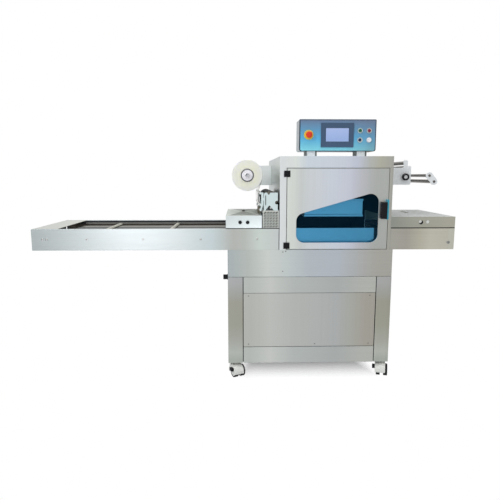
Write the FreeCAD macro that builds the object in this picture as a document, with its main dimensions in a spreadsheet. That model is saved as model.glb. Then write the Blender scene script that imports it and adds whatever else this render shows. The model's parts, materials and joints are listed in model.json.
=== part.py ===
import FreeCAD, Part
import math
import os
import re

doc = FreeCAD.newDocument("TraySealer")

# Driving dimensions in millimetres
SIZES = {
    # Overall
    "infeed_reach": 1193,
    "base_length": 1027,
    "outfeed_length": 398,
    "cabinet_depth": 1060,
    "caster_height": 100,
    "sheet": 3,
    # Base cabinet and bed
    "frame_height": 560,
    "bed_height": 172,
    "post_width": 93,
    "frame_depth": 20,
    "upper_rail": 102,
    "lower_rail": 105,
    "panel_recess": 3,
    "seam": 2,
    "post_seam": 4,
    "corner_radius": 6,
    "switch_size": 30,
    "switch_inset": 45,
    # Upper cabinet
    "cabinet_setback": 319,
    "cabinet_width": 690,
    "cabinet_height": 570,
    "cabinet_wall": 4,
    "stile_depth": 30,
    "left_stile": 41,
    "right_stile": 21,
    "header_height": 70,
    # Door
    "door_gap": 5,
    "door_thickness": 20,
    "window_left": 57,
    "window_right": 56,
    "window_sill": 39,
    "window_low_side": 171,
    "window_high_side": 316,
    "window_corner": 50,
    "window_rebate": 10,
    "window_frame": 24,
    "door_skin": 3,
    "door_rim": 22,
    "pane_thickness": 5,
    "hinge_size": 38,
    "hinge_high_inset": 12,
    "hinge_low_inset": 2,
    "hinge_axis_reach": 8,
    "knuckle_radius": 5,
    "handle_width": 36,
    "handle_length": 101,
    "handle_reach": 35,
    "handle_rise": 188,
    "handle_corner": 7,
    "grip_radius": 11,
    "strip_width": 10,
    "strip_length": 120,
    # Conveyor
    "conveyor_width": 620,
    "panel_height": 131,
    "flange": 25,
    "end_cap": 150,
    "chain_inset": 46,
    "chain_width": 12,
    "chain_height": 10,
    "pitch_radius": 38,
    "chain_drop": 32,
    "track_end": 12,
    "track_width": 64,
    "ledge_height": 21,
    "tail_inset": 75,
    "head_inset": 3,
    "flight_pitch": 413,
    "first_flight": 332,
    "flight_width": 26,
    "flight_crest": 14,
    "flight_height": 9,
    "bed_drop": 33,
    "bed_clearance": 12,
    "member_height": 30,
    "member_width": 40,
    "shaft_radius": 12,
    # Tunnel guards
    "guard_start": 10,
    "guard_length": 221,
    "guard_height": 80,
    "lid_rise": 6,
    "plug_radius": 11,
    "plug_spacing": 46,
    "vent_gap": 5,
    "vent_length": 99,
    "vent_height": 109,
    "vent_margin": 5,
    "slot_width": 7,
    "slot_length": 18,
    "slot_columns": 5,
    "slot_rows": 6,
    "slot_slope": 43,
    # Film feed
    "feed_width": 85,
    "feed_height": 108,
    "feed_plate": 12,
    "feed_inset": 8,
    "rear_inset": 20,
    "gear_width": 12,
    "gear_teeth": 40,
    "pinion_teeth": 10,
    "drive_radius": 45,
    "nip_radius": 10,
    "nip_lift": 14.5,
    "journal_radius": 6,
    "tooth_share": 0.44,
    "bearing_width": 32,
    "bearing_depth": 10,
    "guide_radius": 8,
    "guide_gap": 12,
    "guide_spread": 70,
    "lug_reach": 10.5,
    "lug_radius": 5,
    "bar_width": 13,
    "web_height": 18,
    "web_thickness": 1,
    "rail_radius": 6,
    "rail_drop": 34,
    "clamp_size": 26,
    # Film reel
    "reel_offset": 195,
    "reel_drop": 114.5,
    "reel_radius": 97,
    "reel_start": 130,
    "film_width": 420,
    "core_radius": 40,
    "core_wall": 6,
    "reel_shaft_radius": 15,
    "support_setback": 780,
    "support_height": 147,
    "support_thickness": 10,
    "support_overhang": 45,
    "support_corner": 30,
    "boss_radius": 28,
    "boss_depth": 14,
    # Sealing station
    "head_length": 376,
    "head_depth": 420,
    "head_height": 112,
    "head_gap": 66,
    "head_waist": 3,
    "head_flange": 13,
    "head_shift": 6,
    "carrier_height": 60,
    "column_radius": 15,
    "column_inset": 50,
    "tool_height": 80,
    "tool_plate": 30,
    "tool_waist": 40,
    "inner_panel_length": 583,
    # Rewinder
    "rewind_setback": 200,
    "rewind_plate": 8,
    "rewind_reach": 179,
    "rewind_drop": 55,
    "rewind_height": 120,
    "rewind_depth": 580,
    "shoulder_drop": 11,
    "plate_fillet": 8,
    "ear_left": 127,
    "ear_right": 156,
    "ear_height": 38,
    "spindle_inset": 39,
    "spindle_rise": 50,
    "spindle_radius": 14,
    "ring_radius": 22,
    "ring_depth": 20,
    "roller_large": 12,
    "roller_small": 6,
    "link_reach": 293,
    "link_rise": 59,
    "link_step": 32,
    "link_drop": 38,
    "link_radius": 22,
    "tension_large": 12,
    "tension_small": 10,
    # Outfeed
    "hood_height": 66,
    "hood_seam": 6,
    "hood_hole_radius": 11,
    "sensor_reach": 182,
    "sensor_pitch": 45,
    "sensor_radius": 8.5,
    "sensor_length": 46,
    "sensor_nut": 26,
    "grip_slot_reach": 213,
    "grip_slot_setback": 324,
    "grip_slot_length": 147,
    "grip_slot_width": 22,
    # Control box
    "control_setback": 120,
    "control_width": 482,
    "control_height": 198,
    "control_depth": 145,
    "control_offset": 128,
    "control_lift": 31,
    "box_corner": 18,
    "box_top_corner": 6,
    "face_rim": 4,
    "face_thickness": 3,
    "foot_reach": 52,
    "foot_reach_right": 77,
    "foot_width": 46,
    "foot_depth": 110,
    "foot_flange": 12,
    "foot_inset": 24,
    "screen_reach": 135,
    "screen_rise": 28,
    "screen_width": 204,
    "screen_height": 148,
    "bezel_border": 27,
    "stop_reach": 59,
    "stop_radius": 20,
    "stop_ring": 30,
    "button_radius": 15,
    "button_pitch": 57,
    "button_reach": 46,
    "button_rise": 72,
    # Casters
    "wheel_radius": 38,
    "wheel_width": 24,
    "wheel_spacing": 46,
    "caster_inset": 50,
    "caster_inset_right": 24,
    "caster_trail": 22,
    "caster_yaw_left": -63,
    "caster_yaw_right": -105,
    "swivel_plate": 60,
    "swivel_thickness": 4,
    "neck_width": 26,
    "web_width": 10,
    "fender": 3,
    "fender_drop": 8,
    "hood_end": 21,
    "lever_reach": 18,
    "lever_offset": 16,
    "lever_width": 30,
    "lever_height": 20,
    "lever_rise": 13,
    "wheel_clearance": 5,
    "axle_radius": 6,
    # Clearances
    "running_gap": 0.3,
    "turning_gap": 0.05,
}

# Places and spans worked out from the driving dimensions
PLACES = {
    "front": "-(cabinet_depth - handle_reach) / 2",
    "back": "front + cabinet_depth",
    "overall_length": "infeed_reach + cabinet_setback + cabinet_width + outfeed_length",
    "left_end": "-overall_length / 2",
    "right_end": "overall_length / 2",
    "base_left": "left_end + infeed_reach",
    "base_right": "base_left + base_length",
    "bed_bottom": "caster_height + frame_height",
    "bed_top": "bed_bottom + bed_height",
    "cabinet_left": "base_left + cabinet_setback",
    "cabinet_right": "cabinet_left + cabinet_width",
    "cabinet_top": "bed_top + cabinet_height",
    "panel_top": "bed_top + panel_height",
    "conveyor_back": "front + conveyor_width",
    "infeed_right": "cabinet_left - cabinet_wall",
    "door_left": "cabinet_left + left_stile + door_gap",
    "door_right": "cabinet_right - right_stile - door_gap",
    "door_bottom": "bed_top + door_gap",
    "door_top": "cabinet_top - header_height - door_gap",
    "hinge_x": "door_left - door_gap / 2",
    "hinge_y": "front - hinge_axis_reach",
    "chain_z": "panel_top - chain_drop - pitch_radius",
    "chain_top": "panel_top - chain_drop + chain_height / 2",
    "guard_left": "base_left - guard_start",
    "guard_right": "guard_left + guard_length",
    "tail_x": "left_end + tail_inset",
    "head_x": "guard_right - head_inset",
    "chain_centres": "head_x - tail_x",
    "ledge_bottom": "chain_top - chain_height - ledge_height",
    "tray_bed_top": "panel_top - bed_drop",
    "guard_top": "panel_top + guard_height",
    "vent_left": "guard_right + vent_gap",
    "vent_right": "vent_left + vent_length",
    "vent_top": "panel_top + vent_height + sheet",
    "feed_left": "vent_left + (vent_length - feed_width) / 2",
    "feed_right": "feed_left + feed_width",
    "drive_x": "feed_left + feed_width / 2",
    "nip_z": "vent_top + nip_lift",
    "gear_centres": "drive_radius + nip_radius + web_thickness + 2 * running_gap",
    "drive_z": "nip_z + gear_centres",
    "gear_y": "front + feed_inset + feed_plate + bearing_depth + 1",
    "rear_feed_y": "conveyor_back - rear_inset - feed_plate",
    "guide_x": "feed_left - guide_gap - guide_radius",
    "guide_low": "drive_z - drive_radius + guide_radius",
    "rail_z": "guide_low - rail_drop",
    "reel_x": "cabinet_left - reel_offset",
    "reel_z": "cabinet_top - reel_drop",
    "reel_y": "front + reel_start",
    "support_y": "front + support_setback",
    "tunnel_top": "drive_z - drive_radius + 14",
    "head_bottom": "panel_top + head_gap",
    "head_top": "head_bottom + head_height",
    "control_left": "cabinet_left + control_offset",
    "control_bottom": "cabinet_top + control_lift",
    "control_front": "front + control_setback",
    "hood_bottom": "panel_top + hood_seam",
    "hood_top": "hood_bottom + hood_height",
    "sensor_z": "hood_bottom + hood_height * 0.53",
    "rewind_y": "front + rewind_setback",
    "rewind_bottom": "cabinet_top - rewind_drop - rewind_height",
    "rewind_x": "cabinet_right + rewind_reach - spindle_inset",
    "rewind_z": "rewind_bottom + spindle_rise",
    "swivel_z": "caster_height - swivel_thickness - running_gap",
    "fender_inner": "wheel_radius + wheel_clearance",
    "fender_outer": "fender_inner + fender",
    "wheels_half": "wheel_spacing / 2 + wheel_width / 2",
}


def with_sheets(text):
    """Prefix each named value with the sheet that holds it."""
    def one(match):
        word = match.group(0)
        if word in SIZES:
            return "Sizes." + word
        if word in PLACES:
            return "Places." + word
        return word
    return re.sub(r"[A-Za-z_]+[A-Za-z_0-9]*", one, text)


def fill_sheet(name, values):
    sheet = doc.addObject("Spreadsheet::Sheet", name)
    for row, (alias, value) in enumerate(values.items(), start=1):
        cell = "B%d" % row
        sheet.set("A%d" % row, alias)
        sheet.set(cell, value)
        sheet.setAlias(cell, alias)
    doc.recompute()
    return sheet


sizes = fill_sheet("Sizes", {alias: str(value) for alias, value in SIZES.items()})
places = fill_sheet("Places", {alias: "=" + with_sheets(text) for alias, text in PLACES.items()})


def number(alias):
    """The value of a size or a place."""
    sheet = sizes if alias in SIZES else places
    return float(sheet.get(alias))


parts = []


def keep(obj, label):
    """Name a finished sub-part and list it for writing."""
    obj.Label = label
    parts.append(obj)
    return obj


def bind(obj, **texts):
    for name, text in texts.items():
        obj.setExpression(name.replace("__", "."), with_sheets(str(text)))
    return obj


def place(obj, x, y, z):
    return bind(obj, Placement__Base__x=x, Placement__Base__y=y, Placement__Base__z=z)


def block(x, y, z, length, width, height):
    """A box with its lowest corner at x, y, z."""
    box = doc.addObject("Part::Box", "Block")
    bind(box, Length=length, Width=width, Height=height)
    return place(box, x, y, z)


TURNS = {
    "x": FreeCAD.Rotation(FreeCAD.Vector(0, 1, 0), 90),
    "y": FreeCAD.Rotation(FreeCAD.Vector(1, 0, 0), -90),
    "z": FreeCAD.Rotation(),
}


def rod(x, y, z, radius, length, axis="z"):
    """A cylinder that starts at x, y, z and runs along an axis."""
    cylinder = doc.addObject("Part::Cylinder", "Rod")
    bind(cylinder, Radius=radius, Height=length)
    cylinder.Placement.Rotation = TURNS[axis]
    return place(cylinder, x, y, z)


def fuse(*pieces):
    joined = doc.addObject("Part::MultiFuse", "Joined")
    joined.Shapes = list(pieces)
    joined.Refine = True
    return joined


def group(*pieces):
    """Like pieces that do not touch, in one sub-part."""
    compound = doc.addObject("Part::Compound", "Group")
    compound.Links = list(pieces)
    return compound


def cut(base, *tools):
    result = base
    for tool in tools:
        step = doc.addObject("Part::Cut", "Trimmed")
        step.Base = result
        step.Tool = tool
        result = step
    return result


def round_edges(obj, axis, radius):
    """Round the edges of a piece that run along an axis."""
    doc.recompute()
    along = "xyz".index(axis)
    listed = []
    for index, edge in enumerate(obj.Shape.Edges, start=1):
        if len(edge.Vertexes) == 2:
            step = edge.Vertexes[1].Point - edge.Vertexes[0].Point
            if abs(abs(step[along]) - step.Length) < 1e-6:
                listed.append((index, number(radius), number(radius)))
    soft = doc.addObject("Part::Fillet", "Rounded")
    soft.Base = obj
    soft.Edges = listed
    return soft


def plate(outline, y, thickness, holes=()):
    """A flat plate standing in an X-Z plane, cut from closed wires drawn at y = 0."""
    face = Part.makeFace([outline] + list(holes), "Part::FaceMakerBullseye")
    solid = face.extrude(FreeCAD.Vector(0, thickness, 0))
    feature = doc.addObject("Part::Feature", "Plate")
    feature.Shape = solid
    feature.Placement.Base = FreeCAD.Vector(0, y, 0)
    return feature


def polygon(points):
    corners = [FreeCAD.Vector(x, 0, z) for x, z in points]
    return Part.makePolygon(corners + corners[:1])


def rounded(points, radii):
    """A closed X-Z outline whose corners are rounded with arcs."""
    edges = []
    starts = []
    count = len(points)
    for index in range(count):
        here = FreeCAD.Vector(points[index][0], 0, points[index][1])
        before = FreeCAD.Vector(points[index - 1][0], 0, points[index - 1][1])
        after = FreeCAD.Vector(points[(index + 1) % count][0], 0, points[(index + 1) % count][1])
        radius = radii[index]
        if radius <= 0:
            starts.append((here, here, None))
            continue
        to_before = (before - here).normalize()
        to_after = (after - here).normalize()
        half = to_before.getAngle(to_after) / 2
        reach = radius / math.tan(half)
        middle = (to_before + to_after).normalize()
        centre = here + middle * (radius / math.sin(half))
        starts.append((here + to_before * reach, here + to_after * reach, centre - middle * radius))
    for index in range(count):
        enter, leave, peak = starts[index]
        if peak is not None:
            edges.append(Part.Arc(enter, peak, leave).toShape())
        target = starts[(index + 1) % count][0]
        if leave.distanceToPoint(target) > 1e-6:
            edges.append(Part.LineSegment(leave, target).toShape())
    return Part.Wire(edges)


def capsule(start, end, radius):
    """A closed X-Z outline with straight sides and half-round ends."""
    step = (end - start).normalize()
    side = FreeCAD.Vector(-step.z, 0, step.x) * radius
    tip = step * radius
    edges = [
        Part.LineSegment(start + side, end + side).toShape(),
        Part.Arc(end + side, end + tip, end - side).toShape(),
        Part.LineSegment(end - side, start - side).toShape(),
        Part.Arc(start - side, start - tip, start + side).toShape(),
    ]
    return Part.Wire(edges)


# Base cabinet

def side_plates(z, height, inset):
    """Four plates, one on each side of the base, between its posts."""
    gap = "(post_width + post_seam)"
    x = "base_left + " + gap
    y = "front + " + gap
    length = "base_length - 2 * " + gap
    depth = "cabinet_depth - 2 * " + gap
    thick = "frame_depth - " + inset
    return [
        block(x, "front + " + inset, z, length, thick, height),
        block(x, "back - frame_depth", z, length, thick, height),
        block("base_left + " + inset, y, z, thick, depth, height),
        block("base_right - frame_depth", y, z, thick, depth, height),
    ]


def base_cabinet():
    """The closed base behind its corner posts, rails and side panels."""
    core = block("base_left + frame_depth", "front + frame_depth", "caster_height",
                 "base_length - 2 * frame_depth", "cabinet_depth - 2 * frame_depth", "frame_height")
    keep(core, "base_cabinet")
    posts = []
    for x, inner_x in (("base_left", "base_left + frame_depth"),
                       ("base_right - post_width", "base_right - post_width - 1")):
        for y, inner_y in (("front", "front + frame_depth"), ("back - post_width", "back - post_width - 1")):
            corner = block(x, y, "caster_height", "post_width", "post_width", "frame_height")
            inside = block(inner_x, inner_y, "caster_height - 1", "post_width - frame_depth + 1",
                           "post_width - frame_depth + 1", "frame_height + 2")
            posts.append(cut(corner, inside))
    rails = side_plates("caster_height", "lower_rail", "0")
    rails += side_plates("bed_bottom - upper_rail", "upper_rail", "0")
    keep(group(*posts, *rails), "base_frame")
    panels = side_plates("caster_height + lower_rail + seam",
                         "frame_height - lower_rail - upper_rail - 2 * seam", "panel_recess")
    keep(group(*panels), "base_panels")


def bed_housing():
    """The closed machine bed, as wide as the base, with rounded upright edges."""
    box = block("base_left", "front", "bed_bottom", "base_length", "cabinet_depth", "bed_height")
    keep(round_edges(box, "z", "corner_radius"), "bed_housing")


def side_switch():
    """The isolator on the left of the bed: a plate and a bar handle."""
    z = "bed_bottom - switch_size * 0.8"
    y = "front + switch_inset"
    base = block("base_left - switch_size / 5", y, z, "switch_size / 5", "switch_size", "switch_size")
    grip = block("base_left - switch_size", y + " + switch_size * 0.3", z, "switch_size", "switch_size * 0.4",
                 "switch_size")
    keep(fuse(base, grip), "side_switch")


# Upper cabinet

def cabinet_shell():
    wall_y = "front + stile_depth"
    wall_depth = "cabinet_depth - stile_depth"
    inner_height = "cabinet_height - cabinet_wall"
    left = block("cabinet_left", wall_y, "bed_top", "cabinet_wall", wall_depth, inner_height)
    left_way = block("cabinet_left - 1", "front", "bed_top - 1", "cabinet_wall + 2",
                     "conveyor_width", "tunnel_top - bed_top + 1")
    right = block("cabinet_right - cabinet_wall", wall_y, "bed_top", "cabinet_wall", wall_depth, inner_height)
    right_way = block("cabinet_right - cabinet_wall - 1", "front", "bed_top - 1", "cabinet_wall + 2",
                      "conveyor_width", "hood_top - bed_top + 1")
    keep(group(cut(left, left_way), cut(right, right_way)), "cabinet_side_walls")
    keep(block("cabinet_left + cabinet_wall", "back - cabinet_wall", "bed_top",
               "cabinet_width - 2 * cabinet_wall", "cabinet_wall", inner_height), "cabinet_rear_wall")
    keep(block("cabinet_left", "front + stile_depth", "cabinet_top - cabinet_wall",
               "cabinet_width", wall_depth, "cabinet_wall"), "cabinet_roof")


def cabinet_front():
    stile_height = "cabinet_height - header_height"
    left = block("cabinet_left", "front", "bed_top", "left_stile", "stile_depth", stile_height)
    right = block("cabinet_right - right_stile", "front", "bed_top", "right_stile", "stile_depth",
                  stile_height)
    keep(group(left, right), "front_stiles")
    keep(block("cabinet_left", "front", "cabinet_top - header_height",
               "cabinet_width", "stile_depth", "header_height"), "front_header")


# Door

def window_outline(grow):
    """The slanted window, with every side moved out by grow."""
    left = number("door_left") + number("window_left") - grow
    right = number("door_right") - number("window_right") + grow
    sill = number("door_bottom") + number("window_sill") - grow
    width = right - left
    rise = number("window_high_side") - number("window_low_side")
    lift = grow * math.hypot(width, rise) / width
    low = sill + number("window_low_side") + grow + lift
    high = sill + number("window_high_side") + grow + lift
    points = [(left, sill), (right, sill), (right, high), (left, low)]
    return rounded(points, [number("window_corner") + grow] * 4)


def door_panel():
    """The door leaf: a folded pan round a window, with a rebate that holds the pane from behind."""
    left = number("door_left")
    right = number("door_right")
    bottom = number("door_bottom")
    top = number("door_top")
    front = number("front")
    thickness = number("door_thickness")
    leaf = plate(polygon([(left, bottom), (right, bottom), (right, top), (left, top)]), front, thickness,
                 [window_outline(0)])
    rebate_depth = 2 * number("pane_thickness")
    rebate = plate(window_outline(number("window_rebate")), front + thickness - rebate_depth, rebate_depth)
    skin = number("door_skin")
    rim = number("door_rim")
    field = polygon([(left + rim, bottom + rim), (right - rim, bottom + rim), (right - rim, top - rim),
                     (left + rim, top - rim)])
    hollow = plate(field, front + skin, thickness)
    kept = plate(window_outline(number("window_frame")), front, 2 * thickness)
    keep(cut(leaf, rebate, cut(hollow, kept)), "door_panel")
    pane_y = front + thickness - rebate_depth
    keep(plate(window_outline(number("window_rebate") - 1), pane_y, number("pane_thickness")), "door_window")


def hinge_levels():
    return ["door_bottom + hinge_low_inset + hinge_size / 2", "door_top - hinge_high_inset - hinge_size / 2"]


def door_hardware():
    fixed = []
    moving = []
    half = "hinge_size / 2"
    leaf = "hinge_size / 2 - knuckle_radius / 2"
    for level in hinge_levels():
        bottom = level + " - " + half
        fixed_leaf = block("hinge_x - " + half, "hinge_y", bottom, leaf, "hinge_axis_reach", "hinge_size")
        fixed_knuckle = rod("hinge_x", "hinge_y", bottom, "knuckle_radius", half + " - running_gap")
        room = rod("hinge_x", "hinge_y", level, "knuckle_radius + running_gap", half)
        fixed.append(fuse(cut(fixed_leaf, room), fixed_knuckle))
        moving_leaf = block("hinge_x + knuckle_radius / 2", "hinge_y", bottom, leaf, "hinge_axis_reach",
                            "hinge_size")
        moving_knuckle = rod("hinge_x", "hinge_y", level, "knuckle_radius", half)
        under = rod("hinge_x", "hinge_y", bottom, "knuckle_radius + running_gap", half)
        moving.append(fuse(cut(moving_leaf, under), moving_knuckle))
    keep(group(*fixed), "frame_hinge_leaves")
    x = "door_right - strip_width - handle_width"
    z = "door_bottom + handle_rise"
    body = block(x, "front - handle_reach", z, "handle_width", "handle_reach", "handle_length")
    hold = rod(x + " - grip_radius / 4", "front - handle_reach / 3", z + " + grip_radius", "grip_radius",
               "handle_length - 2 * grip_radius")
    grip = cut(round_edges(body, "z", "handle_corner"), hold)
    strip = block("door_right - strip_width", "front - handle_reach + 8", z + " - 4", "strip_width",
                  "handle_reach - 8", "strip_length")
    keep(group(fuse(grip, strip), *moving), "door_fittings")


# Infeed conveyor

def channel(x, length, y, faces_back):
    """A side panel: a folded sheet channel whose flanges point into the conveyor."""
    web_y = y if faces_back else y + " + flange - sheet"
    web = block(x, web_y, "bed_top", length, "sheet", "panel_height")
    top = block(x, y, "panel_top - sheet", length, "flange", "sheet")
    bottom = block(x, y, "bed_top", length, "flange", "sheet")
    return fuse(web, top, bottom)


def infeed_panels():
    length = "infeed_right - left_end"
    near = channel("left_end", length, "front", True)
    far = channel("left_end", length, "conveyor_back - flange", False)
    keep(group(near, far), "infeed_side_panels")


def infeed_end_cap():
    """The end wall and the top plate that closes the frame over the tail shaft."""
    y = "front + flange"
    width = "conveyor_width - 2 * flange"
    wall = block("left_end", y, "bed_top", "sheet", width, "panel_height")
    top = block("left_end", y, "panel_top - sheet", "end_cap", width, "sheet")
    keep(fuse(wall, top), "infeed_end_cap")


def chain_track(x, length, y, faces_back):
    """A track of C section: a ledge under the chain and a lip over its outer edge."""
    back_y = y if faces_back else y + " + track_width - 10"
    lip_y = y if faces_back else y + " + track_width / 2"
    web = block(x, back_y, "ledge_bottom", length, "10", "panel_top - 5 - ledge_bottom")
    ledge = block(x, y, "ledge_bottom", length, "track_width", "ledge_height")
    lip = block(x, lip_y, "panel_top - 15", length, "track_width / 2", "10")
    return fuse(web, ledge, lip)


def chain_guides():
    x = "left_end + end_cap"
    length = "head_x - pitch_radius - track_end - (left_end + end_cap)"
    front_track = chain_track(x, length, "front + sheet", True)
    rear_track = chain_track(x, length, "conveyor_back - sheet - track_width", False)
    keep(group(front_track, rear_track), "chain_guides")


def conveyor_chains():
    """Two closed loops round the tail and head sprockets."""
    loops = []
    for y in ("front + chain_inset", "conveyor_back - chain_inset - chain_width"):
        skins = []
        for swell in ("+ chain_height / 2", "- chain_height / 2"):
            radius = "pitch_radius " + swell
            tail = rod("tail_x", y, "chain_z", radius, "chain_width", "y")
            head = rod("head_x", y, "chain_z", radius, "chain_width", "y")
            straight = block("tail_x", y, "chain_z - (" + radius + ")", "chain_centres", "chain_width",
                             "2 * (" + radius + ")")
            skins.append(fuse(tail, straight, head))
        loops.append(cut(skins[0], skins[1]))
    keep(group(*loops), "conveyor_chains")


def sprocket_shafts():
    shafts = []
    for x in ("tail_x", "head_x"):
        shaft = rod(x, "front + sheet", "chain_z", "shaft_radius", "conveyor_width - 2 * sheet", "y")
        wheels = [shaft]
        for y in ("front + chain_inset + 2", "conveyor_back - chain_inset - chain_width + 2"):
            wheels.append(rod(x, y, "chain_z", "pitch_radius - chain_height / 2", "chain_width - 4", "y"))
        shafts.append(fuse(*wheels))
    keep(group(*shafts), "sprocket_shafts")


def flights():
    """Cross bars with sloping flanks, carried by both chains at one pitch round the loop."""
    run = number("chain_centres")
    turn = math.pi * number("pitch_radius")
    y = number("front") + number("chain_inset") - number("chain_width") / 2
    length = number("conveyor_width") - 2 * number("chain_inset") + number("chain_width")
    half = number("flight_width") / 2
    crest = number("flight_crest") / 2
    height = number("flight_height")
    bars = []
    travel = number("first_flight")
    while travel < 2 * (run + turn):
        if travel <= run:
            x = number("tail_x") + travel
            z = number("chain_top")
            rise = height
        else:
            x = number("head_x") - (travel - run - turn)
            z = number("chain_z") - number("pitch_radius") - number("chain_height") / 2
            rise = -height
        if travel <= run or run + turn <= travel <= 2 * run + turn:
            outline = polygon([(x - half, z), (x + half, z), (x + crest, z + rise), (x - crest, z + rise)])
            bars.append(plate(outline, y, length))
        travel += number("flight_pitch")
    keep(group(*bars), "flights")


def tray_bed():
    """A folded slide sheet between the chains, and the three cross members under it."""
    members = []
    for share in (0.22, 0.5, 0.78):
        members.append(block("left_end + infeed_reach * %s" % share, "front + sheet",
                             "ledge_bottom - member_height", "member_width", "conveyor_width - 2 * sheet",
                             "member_height"))
    keep(group(*members), "cross_members")
    x = "left_end + end_cap"
    length = "infeed_right - (left_end + end_cap)"
    y = "front + sheet + track_width + bed_clearance"
    width = "conveyor_width - 2 * (sheet + track_width + bed_clearance)"
    height = "tray_bed_top - ledge_bottom"
    top = block(x, y, "tray_bed_top - sheet", length, width, "sheet")
    near = block(x, y, "ledge_bottom", length, "sheet", height)
    far = block(x, y + " + " + width + " - sheet", "ledge_bottom", length, "sheet", height)
    keep(fuse(top, near, far), "tray_bed")


# Tunnel guards

def guard_box():
    """A bridge over the conveyor whose lid is cross-broken towards its middle."""
    x = "guard_left"
    height = "guard_height - sheet"
    near = block(x, "front", "panel_top", "guard_length", "sheet", height)
    far = block(x, "conveyor_back - sheet", "panel_top", "guard_length", "sheet", height)
    left = number("guard_left")
    right = number("guard_right")
    front = number("front")
    back = number("conveyor_back")
    low = number("guard_top") - number("sheet")
    high = number("guard_top")
    peak = FreeCAD.Vector((left + right) / 2, (front + back) / 2, high + number("lid_rise"))
    rim = [FreeCAD.Vector(x_, y_, high)
           for x_, y_ in ((left, front), (right, front), (right, back), (left, back))]
    floor = [FreeCAD.Vector(point.x, point.y, low) for point in rim]
    faces = [Part.Face(Part.makePolygon(floor + floor[:1]))]
    for index in range(4):
        following = (index + 1) % 4
        side = [floor[index], floor[following], rim[following], rim[index], floor[index]]
        faces.append(Part.Face(Part.makePolygon(side)))
        facet = [rim[index], rim[following], peak, rim[index]]
        faces.append(Part.Face(Part.makePolygon(facet)))
    lid = doc.addObject("Part::Feature", "Lid")
    lid.Shape = Part.Solid(Part.Shell(faces))
    knob_x = "(guard_left + guard_right) / 2"
    knob_y = "(front + conveyor_back) / 2"
    stem = rod(knob_x, knob_y, "guard_top + lid_rise - 3", "6", "9")
    head = rod(knob_x, knob_y, "guard_top + lid_rise + 6", "14", "10")
    keep(fuse(near, far, lid), "guard_box")
    plugs = [fuse(cut(stem, lid), head)]
    for side in ("-", "+"):
        x = "(guard_left + guard_right) / 2 %s plug_spacing / 2" % side
        plugs.append(rod(x, "front - 4", "panel_top + guard_height / 2", "plug_radius", "4", "y"))
    keep(group(*plugs), "plugs_and_knob")


def vent_bridge():
    """The slotted front sheet, and the folded sheet that closes the top and the rear."""
    left = number("vent_left")
    right = number("vent_right")
    bottom = number("panel_top")
    top = number("vent_top")
    margin = number("vent_margin") + number("slot_length") / 2
    columns = int(number("slot_columns"))
    rows = int(number("slot_rows"))
    tilt = math.radians(number("slot_slope"))
    along = FreeCAD.Vector(math.cos(tilt), 0, math.sin(tilt)) * (number("slot_length") / 2)
    tip = along * 0.7
    across = FreeCAD.Vector(-math.sin(tilt), 0, math.cos(tilt)) * (number("slot_width") / 2)
    wires = []
    for row in range(rows):
        z = bottom + margin + (top - bottom - 2 * margin) * row / (rows - 1)
        for column in range(columns):
            x = left + margin + (right - left - 2 * margin) * column / (columns - 1)
            centre = FreeCAD.Vector(x, 0, z)
            corners = [centre + along, centre + tip + across, centre - tip + across,
                       centre - along, centre - tip - across, centre + tip - across]
            wires.append(Part.makePolygon(corners + corners[:1]))
    outline = polygon([(left, bottom), (right, bottom), (right, top), (left, top)])
    keep(plate(outline, number("front"), number("sheet"), wires), "vent_panel")
    top_sheet = block("vent_left", "front + sheet", "vent_top - sheet", "vent_length",
                      "conveyor_width - sheet", "sheet")
    rear = block("vent_left", "conveyor_back - sheet", "panel_top", "vent_length", "sheet",
                 "vent_top - panel_top")
    keep(fuse(top_sheet, rear), "vent_bridge")


# Film feed

def feed_plates():
    """The X-shaped cast front plate and the plain rear plate, with their bearing blocks."""
    left = number("feed_left")
    right = number("feed_right")
    bottom = number("vent_top")
    top = bottom + number("feed_height")
    width = right - left
    height = top - bottom
    corners = [
        (0, 0, 0), (0.10, 0, 0), (0.40, 0.30, 6), (0.72, 0, 0), (1, 0, 0), (1, 1, 4),
        (0.47, 1, 0), (0.35, 0.83, 5), (0.23, 1, 0), (0, 1, 12),
    ]
    points = [(left + across * width, bottom + up * height) for across, up, _ in corners]
    outline = rounded(points, [radius for _, _, radius in corners])
    slot_x = left + 0.13 * width
    slot = capsule(FreeCAD.Vector(slot_x, 0, bottom + 0.3 * height),
                   FreeCAD.Vector(slot_x, 0, bottom + 0.82 * height), 2.5)
    solid = plate(outline, number("front") + number("feed_inset"), number("feed_plate"), [slot])
    notch = rod("feed_right - 6", "front + feed_inset - 1", "vent_top + feed_height * 0.44", "11",
                "feed_plate + 2", "y")
    near_y = "front + feed_inset"
    rear = block("feed_left", "rear_feed_y", "vent_top", "feed_width", "feed_plate", "feed_height * 0.8")
    near = fuse(cut(solid, notch), guide_bracket(near_y), *bearings(near_y + " + feed_plate"))
    far = fuse(rear, guide_bracket("rear_feed_y"), *bearings("rear_feed_y - bearing_depth"))
    keep(group(near, far), "feed_plates")


def bearings(y):
    """Bored blocks for the journals of the drive roller and the nip roller."""
    blocks = []
    for z, low, high in (("drive_z", "drive_z - bearing_width / 2", "drive_z + bearing_width / 2"),
                         ("nip_z", "vent_top", "nip_z + bearing_width / 2")):
        body = block("drive_x - bearing_width / 2", y, low, "bearing_width", "bearing_depth",
                     high + " - (" + low + ")")
        bore = rod("drive_x", y + " - 1", z, "journal_radius + turning_gap", "bearing_depth + 2", "y")
        blocks.append(cut(body, bore))
    return blocks


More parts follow.
